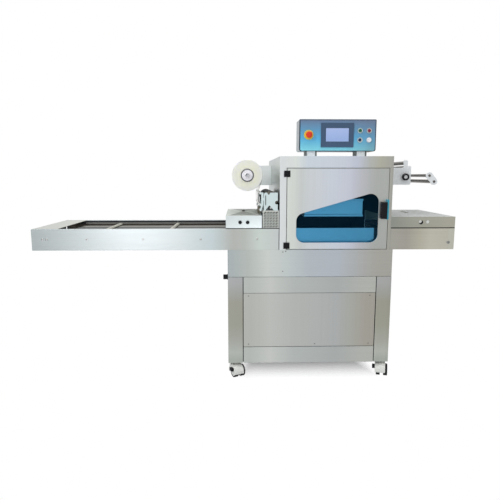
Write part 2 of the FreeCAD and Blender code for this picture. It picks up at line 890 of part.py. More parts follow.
def guide_bracket(y):
    """An upright bar with an arm to each guide roller and to the sensor rail, on a short web."""
    bar_x = "guide_x + lug_reach - bar_width / 2"
    bar = block(bar_x, y, "guide_low - guide_radius / 2", "bar_width", "feed_plate",
                "guide_spread + guide_radius")
    web = block(bar_x, y, "guide_low + guide_spread / 2 - web_height / 2", "feed_left + 8 - (" + bar_x + ")",
                "feed_plate", "web_height")
    pieces = [bar, web]
    x = number("guide_x")
    bar_middle = x + number("lug_reach")
    low = number("guide_low")
    high = low + number("guide_spread")
    for z, root in ((low, low), (high, high), (number("rail_z"), low)):
        outline = capsule(FreeCAD.Vector(x, 0, z), FreeCAD.Vector(bar_middle, 0, root), number("lug_radius"))
        arm = plate(outline, 0, number("feed_plate"))
        pieces.append(bind(arm, Placement__Base__y=y))
    return fuse(*pieces)


def gear(x, z, teeth, pitch_radius):
    """A straight-toothed gear whose teeth leave a little play at the pitch line."""
    module = 2 * pitch_radius / teeth
    step = 2 * math.pi / teeth
    profile = [(pitch_radius - 1.15 * module, 0.33), (pitch_radius, number("tooth_share") / 2),
               (pitch_radius + 0.85 * module, 0.10)]
    points = []
    for tooth in range(teeth):
        middle = step * (tooth + (0 if z > number("nip_z") else 0.5)) - math.pi / 2
        for side in (-1, 1):
            flank = profile if side < 0 else profile[::-1]
            for radius, share in flank:
                angle = middle + side * share * step
                points.append((x + radius * math.cos(angle), z + radius * math.sin(angle)))
    return plate(polygon(points), number("gear_y"), number("gear_width"))


def feed_rollers():
    """The gear-driven drive roller, the nip roller under it, the guide rollers and the sensor rail."""
    share = number("gear_centres") / (number("gear_teeth") + number("pinion_teeth"))
    start = "front + feed_inset + feed_plate"
    width = "rear_feed_y - (" + start + ")"
    body_y = "gear_y + gear_width + 1"
    body = "rear_feed_y - bearing_depth - 1 - (" + body_y + ")"
    sets = []
    for z, radius, teeth in (("drive_z", "drive_radius", "gear_teeth"),
                             ("nip_z", "nip_radius", "pinion_teeth")):
        journal = rod("drive_x", start, z, "journal_radius", width, "y")
        wheel = gear(number("drive_x"), number(z), int(number(teeth)), share * number(teeth))
        sets.append(fuse(journal, rod("drive_x", body_y, z, radius, body, "y"), wheel))
    drive, nip = sets
    keep(drive, "drive_roller")
    guides = [nip]
    for z in ("guide_low", "guide_low + guide_spread"):
        guides.append(rod("guide_x", start, z, "guide_radius", width, "y"))
    rail = rod("guide_x", start, "rail_z", "rail_radius", width, "y")
    clamp = block("guide_x - clamp_size / 2", "reel_y + clamp_size", "rail_z - clamp_size", "clamp_size",
                  "1.5 * clamp_size", "1.5 * clamp_size")
    keep(group(*guides, fuse(rail, clamp)), "feed_rollers")


# Film reel

def film_reel():
    """The roll on its core and shaft, and the plate on the cabinet that carries the shaft at one end."""
    left = number("reel_x") - number("support_overhang")
    low = number("reel_z") - number("support_height") / 2
    high = low + number("support_height")
    corner = number("support_corner")
    right = number("cabinet_left")
    outline = rounded([(left, low), (right, low), (right, high), (left, high)], [corner, 0, 0, corner])
    arm = plate(outline, number("support_y"), number("support_thickness"))
    boss = rod("reel_x", "support_y + support_thickness", "reel_z", "boss_radius", "boss_depth", "y")
    keep(fuse(arm, boss), "reel_support")
    core_inner = "core_radius - core_wall"
    shaft = rod("reel_x", "reel_y - 20", "reel_z", "reel_shaft_radius",
                "support_y - running_gap - (reel_y - 20)", "y")
    near = rod("reel_x", "reel_y - 8", "reel_z", core_inner, "30", "y")
    far = rod("reel_x", "reel_y + film_width - 22", "reel_z", core_inner, "30", "y")
    keep(fuse(shaft, near, far), "reel_shaft")
    core = cut(rod("reel_x", "reel_y - 4", "reel_z", "core_radius", "film_width + 8", "y"),
               rod("reel_x", "reel_y - 5", "reel_z", core_inner, "film_width + 10", "y"))
    keep(core, "reel_core")
    roll = cut(rod("reel_x", "reel_y", "reel_z", "reel_radius", "film_width", "y"),
               rod("reel_x", "reel_y - 1", "reel_z", "core_radius", "film_width + 2", "y"))
    keep(roll, "film_roll")


def film_web():
    """The film from the roll down over the guide rollers and through the nip."""
    gap = number("running_gap")
    thick = number("web_thickness")
    guide_x = number("guide_x")
    low_z = number("guide_low")
    high_z = low_z + number("guide_spread")
    bend = number("guide_radius") + gap
    reel = FreeCAD.Vector(number("reel_x"), 0, number("reel_z"))
    reach = number("reel_radius") + gap
    end_x = number("cabinet_left") + number("left_stile")
    sides = []
    for side, skin in ((bend, 0), (bend + thick, thick)):
        near_x = guide_x - side
        corner = FreeCAD.Vector(near_x, 0, high_z)
        for _ in range(6):
            away = corner - reel
            opening = math.acos((reach + skin) / away.Length)
            heading = math.atan2(away.z, away.x) + opening
            tangent = reel + FreeCAD.Vector(math.cos(heading), 0, math.sin(heading)) * (reach + skin)
            lean = math.atan2(tangent.x - corner.x, tangent.z - corner.z)
            corner = FreeCAD.Vector(near_x, 0, high_z + side * math.tan(lean / 2))
        sides.append([(tangent.x, tangent.z), (corner.x, corner.z), (near_x, low_z - side),
                      (end_x, low_z - side)])
    inner, outer = sides
    outline = rounded(inner + outer[::-1], [0, bend, bend, 0, 0, bend + thick, bend + thick, 0])
    keep(plate(outline, number("reel_y") + 2, number("film_width") - 4), "film_web")


# Sealing station

def sealing_station():
    """The heated head on its carrier and columns, and the tool that lifts the trays under it."""
    left = "(cabinet_left + cabinet_right - head_length) / 2 + head_shift"
    y = "front + (conveyor_width - head_depth) / 2"
    base = block(left, y, "head_bottom", "head_length", "head_depth", "head_flange")
    waist = block(left + " + head_waist", y + " + head_waist", "head_bottom + head_flange - 1",
                  "head_length - 2 * head_waist", "head_depth - 2 * head_waist",
                  "head_height - 2 * head_flange + 2")
    lid = block(left, y, "head_top - head_flange", "head_length", "head_depth", "head_flange")
    keep(fuse(base, waist, lid), "sealing_head")
    carrier_z = "cabinet_top - cabinet_wall - carrier_height"
    columns = [block(left, y, carrier_z, "head_length", "head_depth", "carrier_height")]
    for x in (left + " + column_inset", left + " + head_length - column_inset"):
        for depth in ("column_inset", "head_depth - column_inset"):
            columns.append(rod(x, y + " + " + depth, "head_top", "column_radius", carrier_z + " - head_top"))
    keep(fuse(*columns), "head_carrier")
    foot = block(left + " + tool_waist", y + " + tool_waist", "bed_top", "head_length - 2 * tool_waist",
                 "head_depth - 2 * tool_waist", "tool_height - tool_plate + 1")
    table = block(left, y, "bed_top + tool_height - tool_plate", "head_length", "head_depth", "tool_plate")
    wells = []
    for x in (left + " + tool_waist / 2", left + " + head_length / 2 + tool_waist / 4"):
        well = block(x, y + " + tool_waist", "bed_top + tool_height - tool_plate * 0.7",
                     "head_length / 2 - 0.75 * tool_waist", "head_depth - 2 * tool_waist", "tool_plate")
        wells.append(well)
    keep(fuse(foot, cut(table, *wells)), "lower_tool")
    keep(block("cabinet_left + left_stile - 20", "front + stile_depth + 4", "bed_top", "inner_panel_length",
               "sheet", "panel_height"), "inner_side_panel")


# Waste film rewinder

def rewinder():
    """Two side plates with the waste rollers between them, the spindle and the tension link."""
    left = number("cabinet_right")
    low = number("rewind_bottom")
    top = low + number("rewind_height")
    right = left + number("rewind_reach")
    ear_left = left + number("ear_left")
    ear_right = left + number("ear_right")
    ear_top = top + number("ear_height")
    shoulder = top - number("shoulder_drop")
    soft = number("plate_fillet")
    upper = [(ear_right, top), (ear_right, ear_top), (ear_left, ear_top), (ear_left + soft / 2, shoulder),
             (left, shoulder)]
    upper_radii = [soft / 2, soft, soft, soft, 0]
    link_right = left + number("link_reach") + number("link_step") + number("link_radius")
    link_top = low + number("link_rise") + number("link_radius")
    near = rounded([(left, low), (right, low), (right, top)] + upper, [0, soft, soft] + upper_radii)
    far = rounded([(left, low), (link_right, low), (link_right, link_top), (right, top)] + upper,
                  [0, soft, soft, soft] + upper_radii)
    thick = number("rewind_plate")
    bore = rod("rewind_x", "rewind_y - 1", "rewind_z", "spindle_radius + turning_gap", "rewind_plate + 2",
               "y")
    near_plate = plate(near, number("rewind_y"), thick)
    far_plate = plate(far, number("rewind_y") + number("rewind_depth"), thick)
    keep(group(cut(near_plate, bore), far_plate), "rewind_plates")
    ear_x = "cabinet_right + (ear_left + ear_right) / 2"
    rollers = []
    for z, radius in (("rewind_bottom + rewind_height + ear_height / 2", "roller_large"),
                      ("rewind_bottom + rewind_height - roller_small", "roller_small")):
        rollers.append(rod(ear_x, "rewind_y + rewind_plate", z, radius, "rewind_depth - rewind_plate", "y"))
    link_x = "cabinet_right + link_reach"
    link_z = "rewind_bottom + link_rise"
    link_y = "rewind_y - 20"
    upper_end = FreeCAD.Vector(left + number("link_reach"), 0, low + number("link_rise"))
    lower_end = upper_end + FreeCAD.Vector(number("link_step"), 0, -number("link_drop"))
    link = plate(capsule(upper_end, lower_end, number("link_radius")), number("rewind_y") - 20, thick)
    tension = [link]
    for x, z, radius in ((link_x, link_z, "tension_small"),
                         (link_x + " + link_step", link_z + " - link_drop", "tension_large")):
        tension.append(rod(x, link_y + " + rewind_plate", z, radius, "rewind_depth + 20 - rewind_plate", "y"))
    keep(group(*rollers, fuse(*tension)), "waste_rollers")
    spindle = rod("rewind_x", "rewind_y - ring_depth / 2", "rewind_z", "spindle_radius",
                  "rewind_depth + ring_depth / 2 - running_gap", "y")
    collar = rod("rewind_x", "rewind_y - 4 - ring_depth", "rewind_z", "ring_radius", "ring_depth", "y")
    hollow = rod("rewind_x", "rewind_y - 5 - ring_depth", "rewind_z", "spindle_radius - 2", "ring_depth / 2",
                 "y")
    keep(fuse(spindle, cut(collar, hollow)), "rewind_shaft")


# Outfeed

def outfeed():
    x = "cabinet_right"
    length = "right_end - cabinet_right"
    keep(group(channel(x, length, "front", True), channel(x, length, "conveyor_back - flange", False)),
         "outfeed_side_panels")
    turned = block("right_end - sheet", "front + flange", "bed_top", "sheet", "conveyor_width - 2 * flange",
                   "tray_bed_top - sheet - bed_top")
    slide = block(x, "front + flange", "tray_bed_top - sheet", length, "conveyor_width - 2 * flange", "sheet")
    keep(fuse(turned, slide), "outfeed_bed")
    near = block(x, "front", "hood_bottom", length, "sheet", "hood_height")
    far = block(x, "conveyor_back - sheet", "hood_bottom", length, "sheet", "hood_height")
    top = block(x, "front", "hood_top - sheet", length, "conveyor_width", "sheet")
    slot = block("cabinet_right + grip_slot_reach - grip_slot_width / 2", "front + grip_slot_setback",
                 "hood_top - 2 * sheet", "grip_slot_width", "grip_slot_length", "3 * sheet")
    seam = []
    for y in ("front + sheet", "conveyor_back - 2 * sheet"):
        seam.append(block(x, y, "panel_top", length, "sheet", "hood_height / 3"))
    sensors = []
    holes = []
    for reach in ("sensor_reach", "sensor_reach + sensor_pitch"):
        sensor_x = "cabinet_right + " + reach
        holes.append(rod(sensor_x, "front - 1", "sensor_z", "hood_hole_radius", "sheet + 2", "y"))
        barrel = rod(sensor_x, "front + 1", "sensor_z", "sensor_radius", "sensor_length", "y")
        nut = block(sensor_x + " - sensor_nut / 2", "front + sheet", "sensor_z - sensor_nut / 2",
                    "sensor_nut", "sheet", "sensor_nut")
        sensors.append(fuse(barrel, nut))
    keep(fuse(cut(near, *holes), far, cut(top, slot), *seam), "outfeed_hood")
    keep(group(*sensors), "hood_sensors")


# Control box

def control_box():
    """The control box on two feet with turned-out flanges, with its face, screen and buttons."""
    feet = []
    for x in ("control_left + foot_reach", "control_left + control_width - foot_reach_right - foot_width"):
        feet.append(block(x, "control_front + foot_inset", "cabinet_top", "foot_width", "foot_depth",
                          "control_lift"))
        feet.append(block(x + " - foot_flange", "control_front + foot_inset + foot_flange", "cabinet_top",
                          "foot_width + 2 * foot_flange", "foot_depth - 2 * foot_flange", "sheet"))
    box_corner = number("box_corner")
    top_corner = number("box_top_corner")
    shapes = []
    for inset in (0, number("face_rim")):
        left = number("control_left") + inset
        right = left + number("control_width") - 2 * inset
        low = number("control_bottom") + inset
        high = low + number("control_height") - 2 * inset
        radii = [box_corner - inset, box_corner - inset, top_corner - inset, top_corner - inset]
        shapes.append(rounded([(left, low), (right, low), (right, high), (left, high)], radii))
    face_y = number("control_front")
    thick = number("face_thickness")
    keep(fuse(plate(shapes[0], face_y + thick, number("control_depth")), *feet), "control_box")
    keep(plate(shapes[1], face_y, thick), "control_face")
    x = "control_left + screen_reach"
    z = "control_bottom + screen_rise"
    bezel = block(x, "control_front - 6", z, "screen_width", "6", "screen_height")
    sunk = block(x + " + bezel_border", "control_front - 7", z + " + bezel_border",
                 "screen_width - 2 * bezel_border", "3", "screen_height - 2.2 * bezel_border")
    keep(cut(bezel, sunk), "touch_screen")
    stop_x = "control_left + stop_reach"
    stop_z = "control_bottom + control_height * 0.52"
    ring = rod(stop_x, "control_front - 6", stop_z, "stop_ring", "6", "y")
    mushroom = rod(stop_x, "control_front - 30", stop_z, "stop_radius", "24", "y")
    keep(fuse(ring, mushroom), "stop_button")
    buttons = []
    for column in ("0", "1"):
        for row in ("0", "1"):
            buttons.append(rod("control_left + control_width - button_reach - button_pitch * " + column,
                               "control_front - 10", "control_bottom + button_rise + button_pitch * " + row,
                               "button_radius", "10", "y"))
    keep(group(*buttons), "buttons")


# Casters

def caster_fork(x, y, yaw):
    """A twin-wheel housing: a fender over both wheels, the web between them and the brake lever."""
    width = "wheels_half + wheel_clearance + fender + hood_end"
    low_y = "-(wheels_half + wheel_clearance + fender)"
    outer = fuse(rod("caster_trail", low_y, "wheel_radius", "fender_outer", width, "y"),
                 block("-neck_width / 2", low_y, "wheel_radius", "caster_trail + neck_width / 2", width,
                       "fender_outer"))
    below = block("-fender_outer", low_y + " - 1", "wheel_radius - fender_outer - 1", "4 * fender_outer",
                  width + " + 2", "fender_outer - fender_drop + 1")
    rooms = []
    room_start = "-(wheels_half + wheel_clearance)"
    for start, length in ((room_start, "wheels_half + wheel_clearance - web_width / 2"),
                          ("web_width / 2", "wheels_half + 3")):
        rooms.append(rod("caster_trail", start, "wheel_radius", "fender_inner", length, "y"))
    axle_way = block("caster_trail - axle_radius - turning_gap", "-web_width", "0",
                     "2 * (axle_radius + turning_gap)", "2 * web_width",
                     "wheel_radius + axle_radius + turning_gap")
    neck = block("-neck_width / 2", "-neck_width / 2", "wheel_radius + fender_inner", "neck_width",
                 "neck_width", "swivel_z - wheel_radius - fender_inner")
    lever = block("caster_trail + lever_offset - lever_width / 2", low_y + " - lever_reach",
                  "wheel_radius + lever_rise", "lever_width", "lever_reach", "lever_height")
    body = fuse(cut(outer, below, *rooms, axle_way), neck, lever)
    return settle(body, x, y, yaw)


def caster_wheels(x, y, yaw):
    """Two wheels on one axle, which turns in the open slot of the web."""
    pieces = [rod("caster_trail", "-wheels_half + 1", "wheel_radius", "axle_radius", "2 * wheels_half - 2",
                  "y")]
    for start in ("-wheels_half", "wheels_half - wheel_width"):
        pieces.append(rod("caster_trail", start, "wheel_radius", "wheel_radius", "wheel_width", "y"))
    return settle(fuse(*pieces), x, y, yaw)


def settle(piece, x, y, yaw):
    """Move a caster piece, drawn round its own swivel axis, to its corner of the base."""
    piece.Placement.Rotation = FreeCAD.Rotation(FreeCAD.Vector(0, 0, 1), number(yaw))
    return place(piece, x, y, "0")


def casters():
    plates = []
    index = 0
    for x, yaw in (("base_left + caster_inset", "caster_yaw_left"),
                   ("base_right - caster_inset_right", "caster_yaw_right")):
        for y in ("front + caster_inset", "back - caster_inset"):
            index += 1
            plates.append(block(x + " - swivel_plate / 2", y + " - swivel_plate / 2",
                                "caster_height - swivel_thickness", "swivel_plate", "swivel_plate",
                                "swivel_thickness"))
            keep(caster_fork(x, y, yaw), "caster_%d_fork" % index)
            keep(caster_wheels(x, y, yaw), "caster_%d_wheels" % index)
    keep(group(*plates), "caster_plates")


SECTIONS = (
    base_cabinet, bed_housing, side_switch,
    cabinet_shell, cabinet_front, door_panel, door_hardware,
    infeed_panels, infeed_end_cap, chain_guides, conveyor_chains, sprocket_shafts, flights,
    tray_bed, guard_box, vent_bridge,
    feed_plates, feed_rollers, film_reel, film_web, sealing_station, rewinder, outfeed, control_box, casters,
)

for section in SECTIONS:
    section()
doc.recompute()

for obj in doc.Objects:
    if "Invalid" in obj.State or "Error" in obj.State:
        raise RuntimeError("%s has state %s" % (obj.Label, obj.State))
os.makedirs("parts", exist_ok=True)
for part in parts:
    if part.Shape.isNull() or not part.Shape.isValid():
        raise RuntimeError("%s has no valid shape" % part.Label)
for part in parts:
    part.Shape.exportStep(os.path.join("parts", part.Label + ".step"))
print("%d sub-parts" % len(parts))
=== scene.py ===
import bpy
import json
import math
from mathutils import Matrix, Vector

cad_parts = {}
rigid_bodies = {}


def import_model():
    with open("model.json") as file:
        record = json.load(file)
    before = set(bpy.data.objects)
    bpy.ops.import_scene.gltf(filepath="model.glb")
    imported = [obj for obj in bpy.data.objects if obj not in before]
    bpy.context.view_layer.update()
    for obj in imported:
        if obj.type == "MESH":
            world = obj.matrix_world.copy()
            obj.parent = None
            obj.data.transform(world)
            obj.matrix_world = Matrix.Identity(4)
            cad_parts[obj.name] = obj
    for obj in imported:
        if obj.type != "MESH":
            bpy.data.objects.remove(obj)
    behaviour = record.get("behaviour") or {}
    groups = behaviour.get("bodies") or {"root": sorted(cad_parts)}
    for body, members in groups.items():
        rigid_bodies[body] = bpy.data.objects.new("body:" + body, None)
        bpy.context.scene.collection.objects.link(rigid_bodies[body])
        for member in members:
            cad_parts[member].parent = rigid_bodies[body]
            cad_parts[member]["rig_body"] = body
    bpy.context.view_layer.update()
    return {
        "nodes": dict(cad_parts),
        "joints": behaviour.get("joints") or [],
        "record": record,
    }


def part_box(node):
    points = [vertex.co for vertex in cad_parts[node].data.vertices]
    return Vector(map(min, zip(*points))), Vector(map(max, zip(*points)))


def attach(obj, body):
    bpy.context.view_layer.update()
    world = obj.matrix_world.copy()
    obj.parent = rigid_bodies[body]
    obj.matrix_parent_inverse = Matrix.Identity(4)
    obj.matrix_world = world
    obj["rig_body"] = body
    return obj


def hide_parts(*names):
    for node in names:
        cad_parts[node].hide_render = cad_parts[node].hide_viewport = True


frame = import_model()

nodes = frame["nodes"]
slotOf = {part["node"]: part["material_slot"] for part in frame["record"]["subparts"]}
jointOf = {joint["name"]: joint for joint in frame["joints"]}
finish = {}        # every material by a short key, filled further down


# Handy steps for every piece

def pickOnly(*pieces):
    # picks these pieces, the first as the active one, or nothing at all
    bpy.ops.object.select_all(action="DESELECT")
    for piece in pieces:
        piece.select_set(True)
    if pieces:
        bpy.context.view_layer.objects.active = pieces[0]


def setInMesh(obj):
    pickOnly(obj)
    bpy.ops.object.transform_apply(location=True, rotation=True, scale=True)
    return obj


def applyModifier(obj, kind, **values):
    modifier = obj.modifiers.new(kind, kind)
    for key, value in values.items():
        setattr(modifier, key, value)
    pickOnly(obj)
    bpy.ops.object.modifier_apply(modifier=modifier.name)
    return obj


def smoothByAngle(obj, degrees=35):
    pickOnly(obj)
    bpy.ops.object.shade_smooth_by_angle(angle=math.radians(degrees))
    return obj


def softenEdges(obj, width, segments=2, degrees=40):
    # rounds the edges and keeps the wide faces flat to the light
    applyModifier(obj, "BEVEL", width=width, segments=segments, limit_method="ANGLE",
                  angle_limit=math.radians(degrees))
    smoothByAngle(obj)
    return applyModifier(obj, "WEIGHTED_NORMAL", keep_sharp=True)


def editFaces(obj, test):
    # leaves edit mode open with the faces whose centre and normal pass the test selected
    pickOnly(obj)
    bpy.ops.object.mode_set(mode="EDIT")
    bpy.ops.mesh.select_mode(type="FACE")
    bpy.ops.mesh.select_all(action="DESELECT")
    leaveEdit()
    for face in obj.data.polygons:
        face.select = bool(test(face.center, face.normal))
    bpy.ops.object.mode_set(mode="EDIT")


def leaveEdit():
    bpy.ops.object.mode_set(mode="OBJECT")


def facesFront(centre, normal):
    return normal.y < -0.9


def facesUp(centre, normal):
    return normal.z > 0.9


def insetFaces(obj, test, *steps):
    # one inset for each width and depth
    editFaces(obj, test)
    for width, depth in steps:
        bpy.ops.mesh.inset(thickness=width, depth=depth)
    leaveEdit()


def extrudeBy(shift, scale=None, about=None):
    # draws the selected faces out, then narrows or widens them about a point
    bpy.ops.mesh.extrude_region_move(TRANSFORM_OT_translate={"value": shift})
    if scale:
        bpy.ops.transform.resize(value=scale, center_override=about)


def splitAt(obj, place, normal, **options):
    # one straight cut right through a piece
    editFaces(obj, lambda centre, normal: True)
    bpy.ops.mesh.bisect(plane_co=place, plane_no=normal, **options)
    leaveEdit()


def addBlock(name, low, high, edge=0.001, segments=2):
    pickOnly()
    low, high = Vector(low), Vector(high)
    bpy.ops.mesh.primitive_cube_add(size=1, location=(low + high) / 2)
    block = bpy.context.object
    block.name = name
    block.scale = high - low
    setInMesh(block)
    return softenEdges(block, edge, segments) if edge else block


turnTo = {"x": (0, math.pi / 2, 0), "y": (-math.pi / 2, 0, 0), "z": (0, 0, 0)}


def addRod(name, start, radius, length, axis="y", sides=48, edge=0.0008, segments=2):
    pickOnly()
    step = Vector([length / 2 if letter == axis else 0 for letter in "xyz"])
    bpy.ops.mesh.primitive_cylinder_add(vertices=sides, radius=radius, depth=length,
                                        location=Vector(start) + step, rotation=turnTo[axis])
    rod = bpy.context.object
    rod.name = name
    setInMesh(rod)
    return softenEdges(rod, edge, segments) if edge else rod


def joinPieces(name, pieces):
    pickOnly(*pieces)
    if len(pieces) > 1:
        bpy.ops.object.join()
    whole = bpy.context.object
    whole.name = name
    return whole


def copyTo(source, shift=(0, 0, 0), turn=None):
    pickOnly(source)
    bpy.ops.object.duplicate()
    copy = bpy.context.object
    if turn is not None:
        copy.matrix_world = turn
    copy.location = copy.location + Vector(shift)
    return setInMesh(copy)


def repeatAt(name, source, shifts):
    pieces = [copyTo(source, shift) for shift in shifts]
    bpy.data.objects.remove(source)
    return joinPieces(name, pieces)


def cutAway(obj, cutter):
    applyModifier(obj, "BOOLEAN", operation="DIFFERENCE", object=cutter, solver="EXACT")
    bpy.data.objects.remove(cutter)
    return obj


def paintPiece(obj, *keys):
    obj.data.materials.clear()
    for key in keys:
        obj.data.materials.append(finish[key])


def paintFaces(obj, index, test):
    for face in obj.data.polygons:
        if test(face.center, face.normal):
            face.material_index = index


def seat(obj, *keys, body="machine", slotName=None, replaces=()):
    if keys:
        paintPiece(obj, *keys)
    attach(obj, body)
    if replaces:
        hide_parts(*replaces)
    return obj


def middleOf(name):
    low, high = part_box(name)
    return (low + high) / 2


def copyNode(name):
    # a clean copy of a CAD node's mesh, merged into whole faces
    pickOnly(nodes[name])
    bpy.ops.object.duplicate()
    copy = bpy.context.object
    copy.name = name[0] + name.title().replace("_", "")[1:]
    for key in [key for key in copy.keys() if key.startswith("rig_")]:
        del copy[key]
    copy.parent = None
    bpy.ops.object.mode_set(mode="EDIT")
    bpy.ops.mesh.select_all(action="SELECT")
    bpy.ops.mesh.remove_doubles(threshold=0.00002)
    bpy.ops.mesh.dissolve_limited(angle_limit=math.radians(1.0))
    leaveEdit()
    return copy


def dressNode(name, *keys, edge=0.0008, segments=2):
    # a softened copy stands for the CAD node
    copy = copyNode(name)
    if edge:
        softenEdges(copy, edge, segments)
    else:
        smoothByAngle(copy)
    return seat(copy, *keys, body=nodes[name]["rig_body"], slotName=slotOf[name], replaces=[name])


def paintNode(name, key):
    paintPiece(nodes[name], key)
    smoothByAngle(nodes[name])


# Materials

def tone(red, green, blue):
    # a colour from 0 to 255 as shown on screen
    def one(level):
        share = level / 255
        return share / 12.92 if share <= 0.04045 else ((share + 0.055) / 1.055) ** 2.4
    return (one(red), one(green), one(blue), 1)


def grey(level):
    return (level, level, level, 1)


def shade(colour, share):
    return (colour[0] * share, colour[1] * share, colour[2] * share, 1)


def fillSocket(tree, socket, value):
    # a socket takes a value, or a link from another node's output
    if isinstance(value, bpy.types.NodeSocket):
        tree.links.new(value, socket)
    else:
        socket.default_value = value


def addNode(tree, kind, inputs=None, **settings):
    node = tree.nodes.new("ShaderNode" + kind)
    for key, value in settings.items():
        setattr(node, key, value)
    for key, value in (inputs or {}).items():
        fillSocket(tree, node.inputs[key], value)
    return node


def setShader(material, values):
    shader = material.node_tree.nodes["Principled BSDF"]
    for key, value in values.items():
        fillSocket(material.node_tree, shader.inputs[key], value)
    return material


def newMaterial(name, colour, roughness=0.5, metallic=0.0):
    material = bpy.data.materials.new(name)
    material.use_nodes = True
    return setShader(material, {"Base Color": colour, "Roughness": roughness, "Metallic": metallic})


def objectPlace(tree, part=None):
    # where a point lies on the machine, whole or along one axis
    place = addNode(tree, "TexCoord").outputs["Object"]
    return addNode(tree, "SeparateXYZ", {0: place}).outputs[part] if part else place


def addNoise(tree, stretch, detail):
    place = addNode(tree, "Mapping", {"Vector": objectPlace(tree), "Scale": stretch})
    return addNode(tree, "TexNoise", {"Vector": place.outputs["Vector"], "Scale": 1.0,
                                      "Detail": detail}).outputs["Fac"]


def addRange(tree, source, low, high, fromLow=0.3, fromHigh=0.7):
    return addNode(tree, "MapRange", {"Value": source, "From Min": fromLow, "From Max": fromHigh,
                                      "To Min": low, "To Max": high}).outputs["Result"]


def mixColours(tree, share, first, second, blend="MIX"):
    return addNode(tree, "Mix", {"Factor": share, "A": first, "B": second},
                   data_type="RGBA", blend_type=blend).outputs["Result"]


def mixShaders(tree, share, first, second):
    return addNode(tree, "MixShader", {"Fac": share, 1: first, 2: second}).outputs[0]


def addRamp(tree, source, stops):
    ramp = addNode(tree, "ValToRGB", {"Fac": source})
    marks = ramp.color_ramp.elements
    while len(marks) < len(stops):
        marks.new(0.5)
    for mark, (spot, colour) in zip(marks, stops):
        mark.position = spot
        mark.color = colour
    return ramp.outputs["Color"]


def anyRay(tree, first, *others):
    # one when a ray is of any of the named kinds
    rays = addNode(tree, "LightPath").outputs
    seen = rays[first]
    for name in others:
        seen = addNode(tree, "Math", {0: seen, 1: rays[name]}, operation="MAXIMUM").outputs[0]
    return seen


def addPaintedLight(tree, axis, stops):
    # painted light: a slow change of tone along one axis of the machine, standing in for how the studio's
    # light and reflections fall along it
    start, end = stops[0][0], stops[-1][0]
    along = addRange(tree, objectPlace(tree, axis), 0, 1, start, end)
    return addRamp(tree, along, [((spot - start) / (end - start), colour) for spot, colour in stops])


def mottled(tree, grit, colour, dark, light):
    return mixColours(tree, addRange(tree, grit, 0, 1), shade(colour, dark), shade(colour, light))


def brushedSteel(name, colour, grain, roughness=0.36, contrast=0.07, stops=None, along="X"):
    # fine streaks along the grain, and slow clouds where the sheet isn't quite even; given stops, painted
    # light along the machine is multiplied in
    material = newMaterial(name, colour, roughness, 1.0)
    tree = material.node_tree
    streaks = addNoise(tree, [1.5 if axis == grain else 420 for axis in "xyz"], 4)
    clouds = addNoise(tree, (2.2, 2.2, 2.2), 2)
    paintedLight = addPaintedLight(tree, along, stops) if stops else colour
    fine = mixColours(tree, addRange(tree, streaks, 0, 1), grey(1 - contrast), grey(1))
    cloudy = mixColours(tree, addRange(tree, clouds, 0, 0.16), fine, grey(0.8))
    return setShader(material, {"Base Color": mixColours(tree, 1.0, cloudy, paintedLight, "MULTIPLY"),
                                "Roughness": addRange(tree, streaks, roughness - 0.05, roughness + 0.07)})


def blastedSteel(name, colour, roughness=0.52, metallic=0.85):
    material = newMaterial(name, colour, roughness, metallic)
    tree = material.node_tree
    grit = addNoise(tree, (900, 900, 900), 2)
    bump = addNode(tree, "Bump", {"Height": grit, "Strength": 0.12, "Distance": 0.0003})
    return setShader(material, {"Base Color": mottled(tree, grit, colour, 0.94, 1.05),
                                "Normal": bump.outputs["Normal"]})


def plasticMaterial(name, colour, roughness=0.42, gloss=0.5, mottle=0.04):
    material = newMaterial(name, colour, roughness)
    tree = material.node_tree
    grit = addNoise(tree, (120, 120, 120), 2)
    return setShader(material, {"Base Color": mottled(tree, grit, colour, 1 - mottle, 1 + mottle),
                                "Specular IOR Level": gloss})


def paneMaterial():
    # tinted acrylic: blue to look through, with a plain gloss
    material = newMaterial("bluePane", tone(40, 120, 160), 0.05)
    tree = material.node_tree
    tint, clear = [addNode(tree, "BsdfTransparent", {"Color": colour}).outputs[0]
                   for colour in ((0.583, 0.83, 0.949, 1), (0.85, 0.95, 1, 1))]
    gloss = mixShaders(tree, 0.03, tint, tree.nodes["Principled BSDF"].outputs[0])
    whole = mixShaders(tree, anyRay(tree, "Is Shadow Ray", "Is Diffuse Ray"), gloss, clear)
    fillSocket(tree, tree.nodes["Material Output"].inputs["Surface"], whole)
    return material


def rollMaterial():
    # wound film: fine rings on the ends, paler towards the rim
    centre = middleOf("film_roll")
    material = newMaterial("woundFilm", tone(232, 234, 208), 0.28)
    tree = material.node_tree
    place = addNode(tree, "Mapping", {"Vector": objectPlace(tree), "Location": (-centre.x, 0, -centre.z),
                                      "Scale": (1, 0, 1)})
    reach = addNode(tree, "VectorMath", {0: place.outputs["Vector"]}, operation="LENGTH").outputs["Value"]
    rings = addNode(tree, "TexNoise", {"W": reach, "Scale": 420, "Detail": 3}, noise_dimensions="1D")
    wound = mixColours(tree, addRange(tree, rings.outputs["Fac"], 0, 1), tone(255, 252, 220),
                       tone(255, 255, 244))
    pale = addRange(tree, reach, 0, 0.75, 0.06, 0.097)
    return setShader(material, {"Base Color": mixColours(tree, pale, wound, tone(254, 254, 249)),
                                "Subsurface Weight": 0.25, "Subsurface Radius": (0.02, 0.02, 0.012)})


def faceMaterial():
    # the control face: printed slate blue at the top and brighter cyan below, and greyer towards its right
    # edge
    low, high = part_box("control_face")
    material = newMaterial("controlBlue", tone(110, 180, 206), 0.4)
    tree = material.node_tree
    rise = addRange(tree, objectPlace(tree, "Z"), 0, 1, low.z, high.z)
    across = addRange(tree, objectPlace(tree, "X"), 0, 0.45, low.x + 0.62 * (high.x - low.x), high.x)
    down = addRamp(tree, rise, ((0, tone(142, 228, 240)), (0.4, tone(94, 190, 236)),
                                (1, tone(112, 132, 164))))
    return setShader(material, {"Base Color": mixColours(tree, across, down, tone(120, 126, 146))})


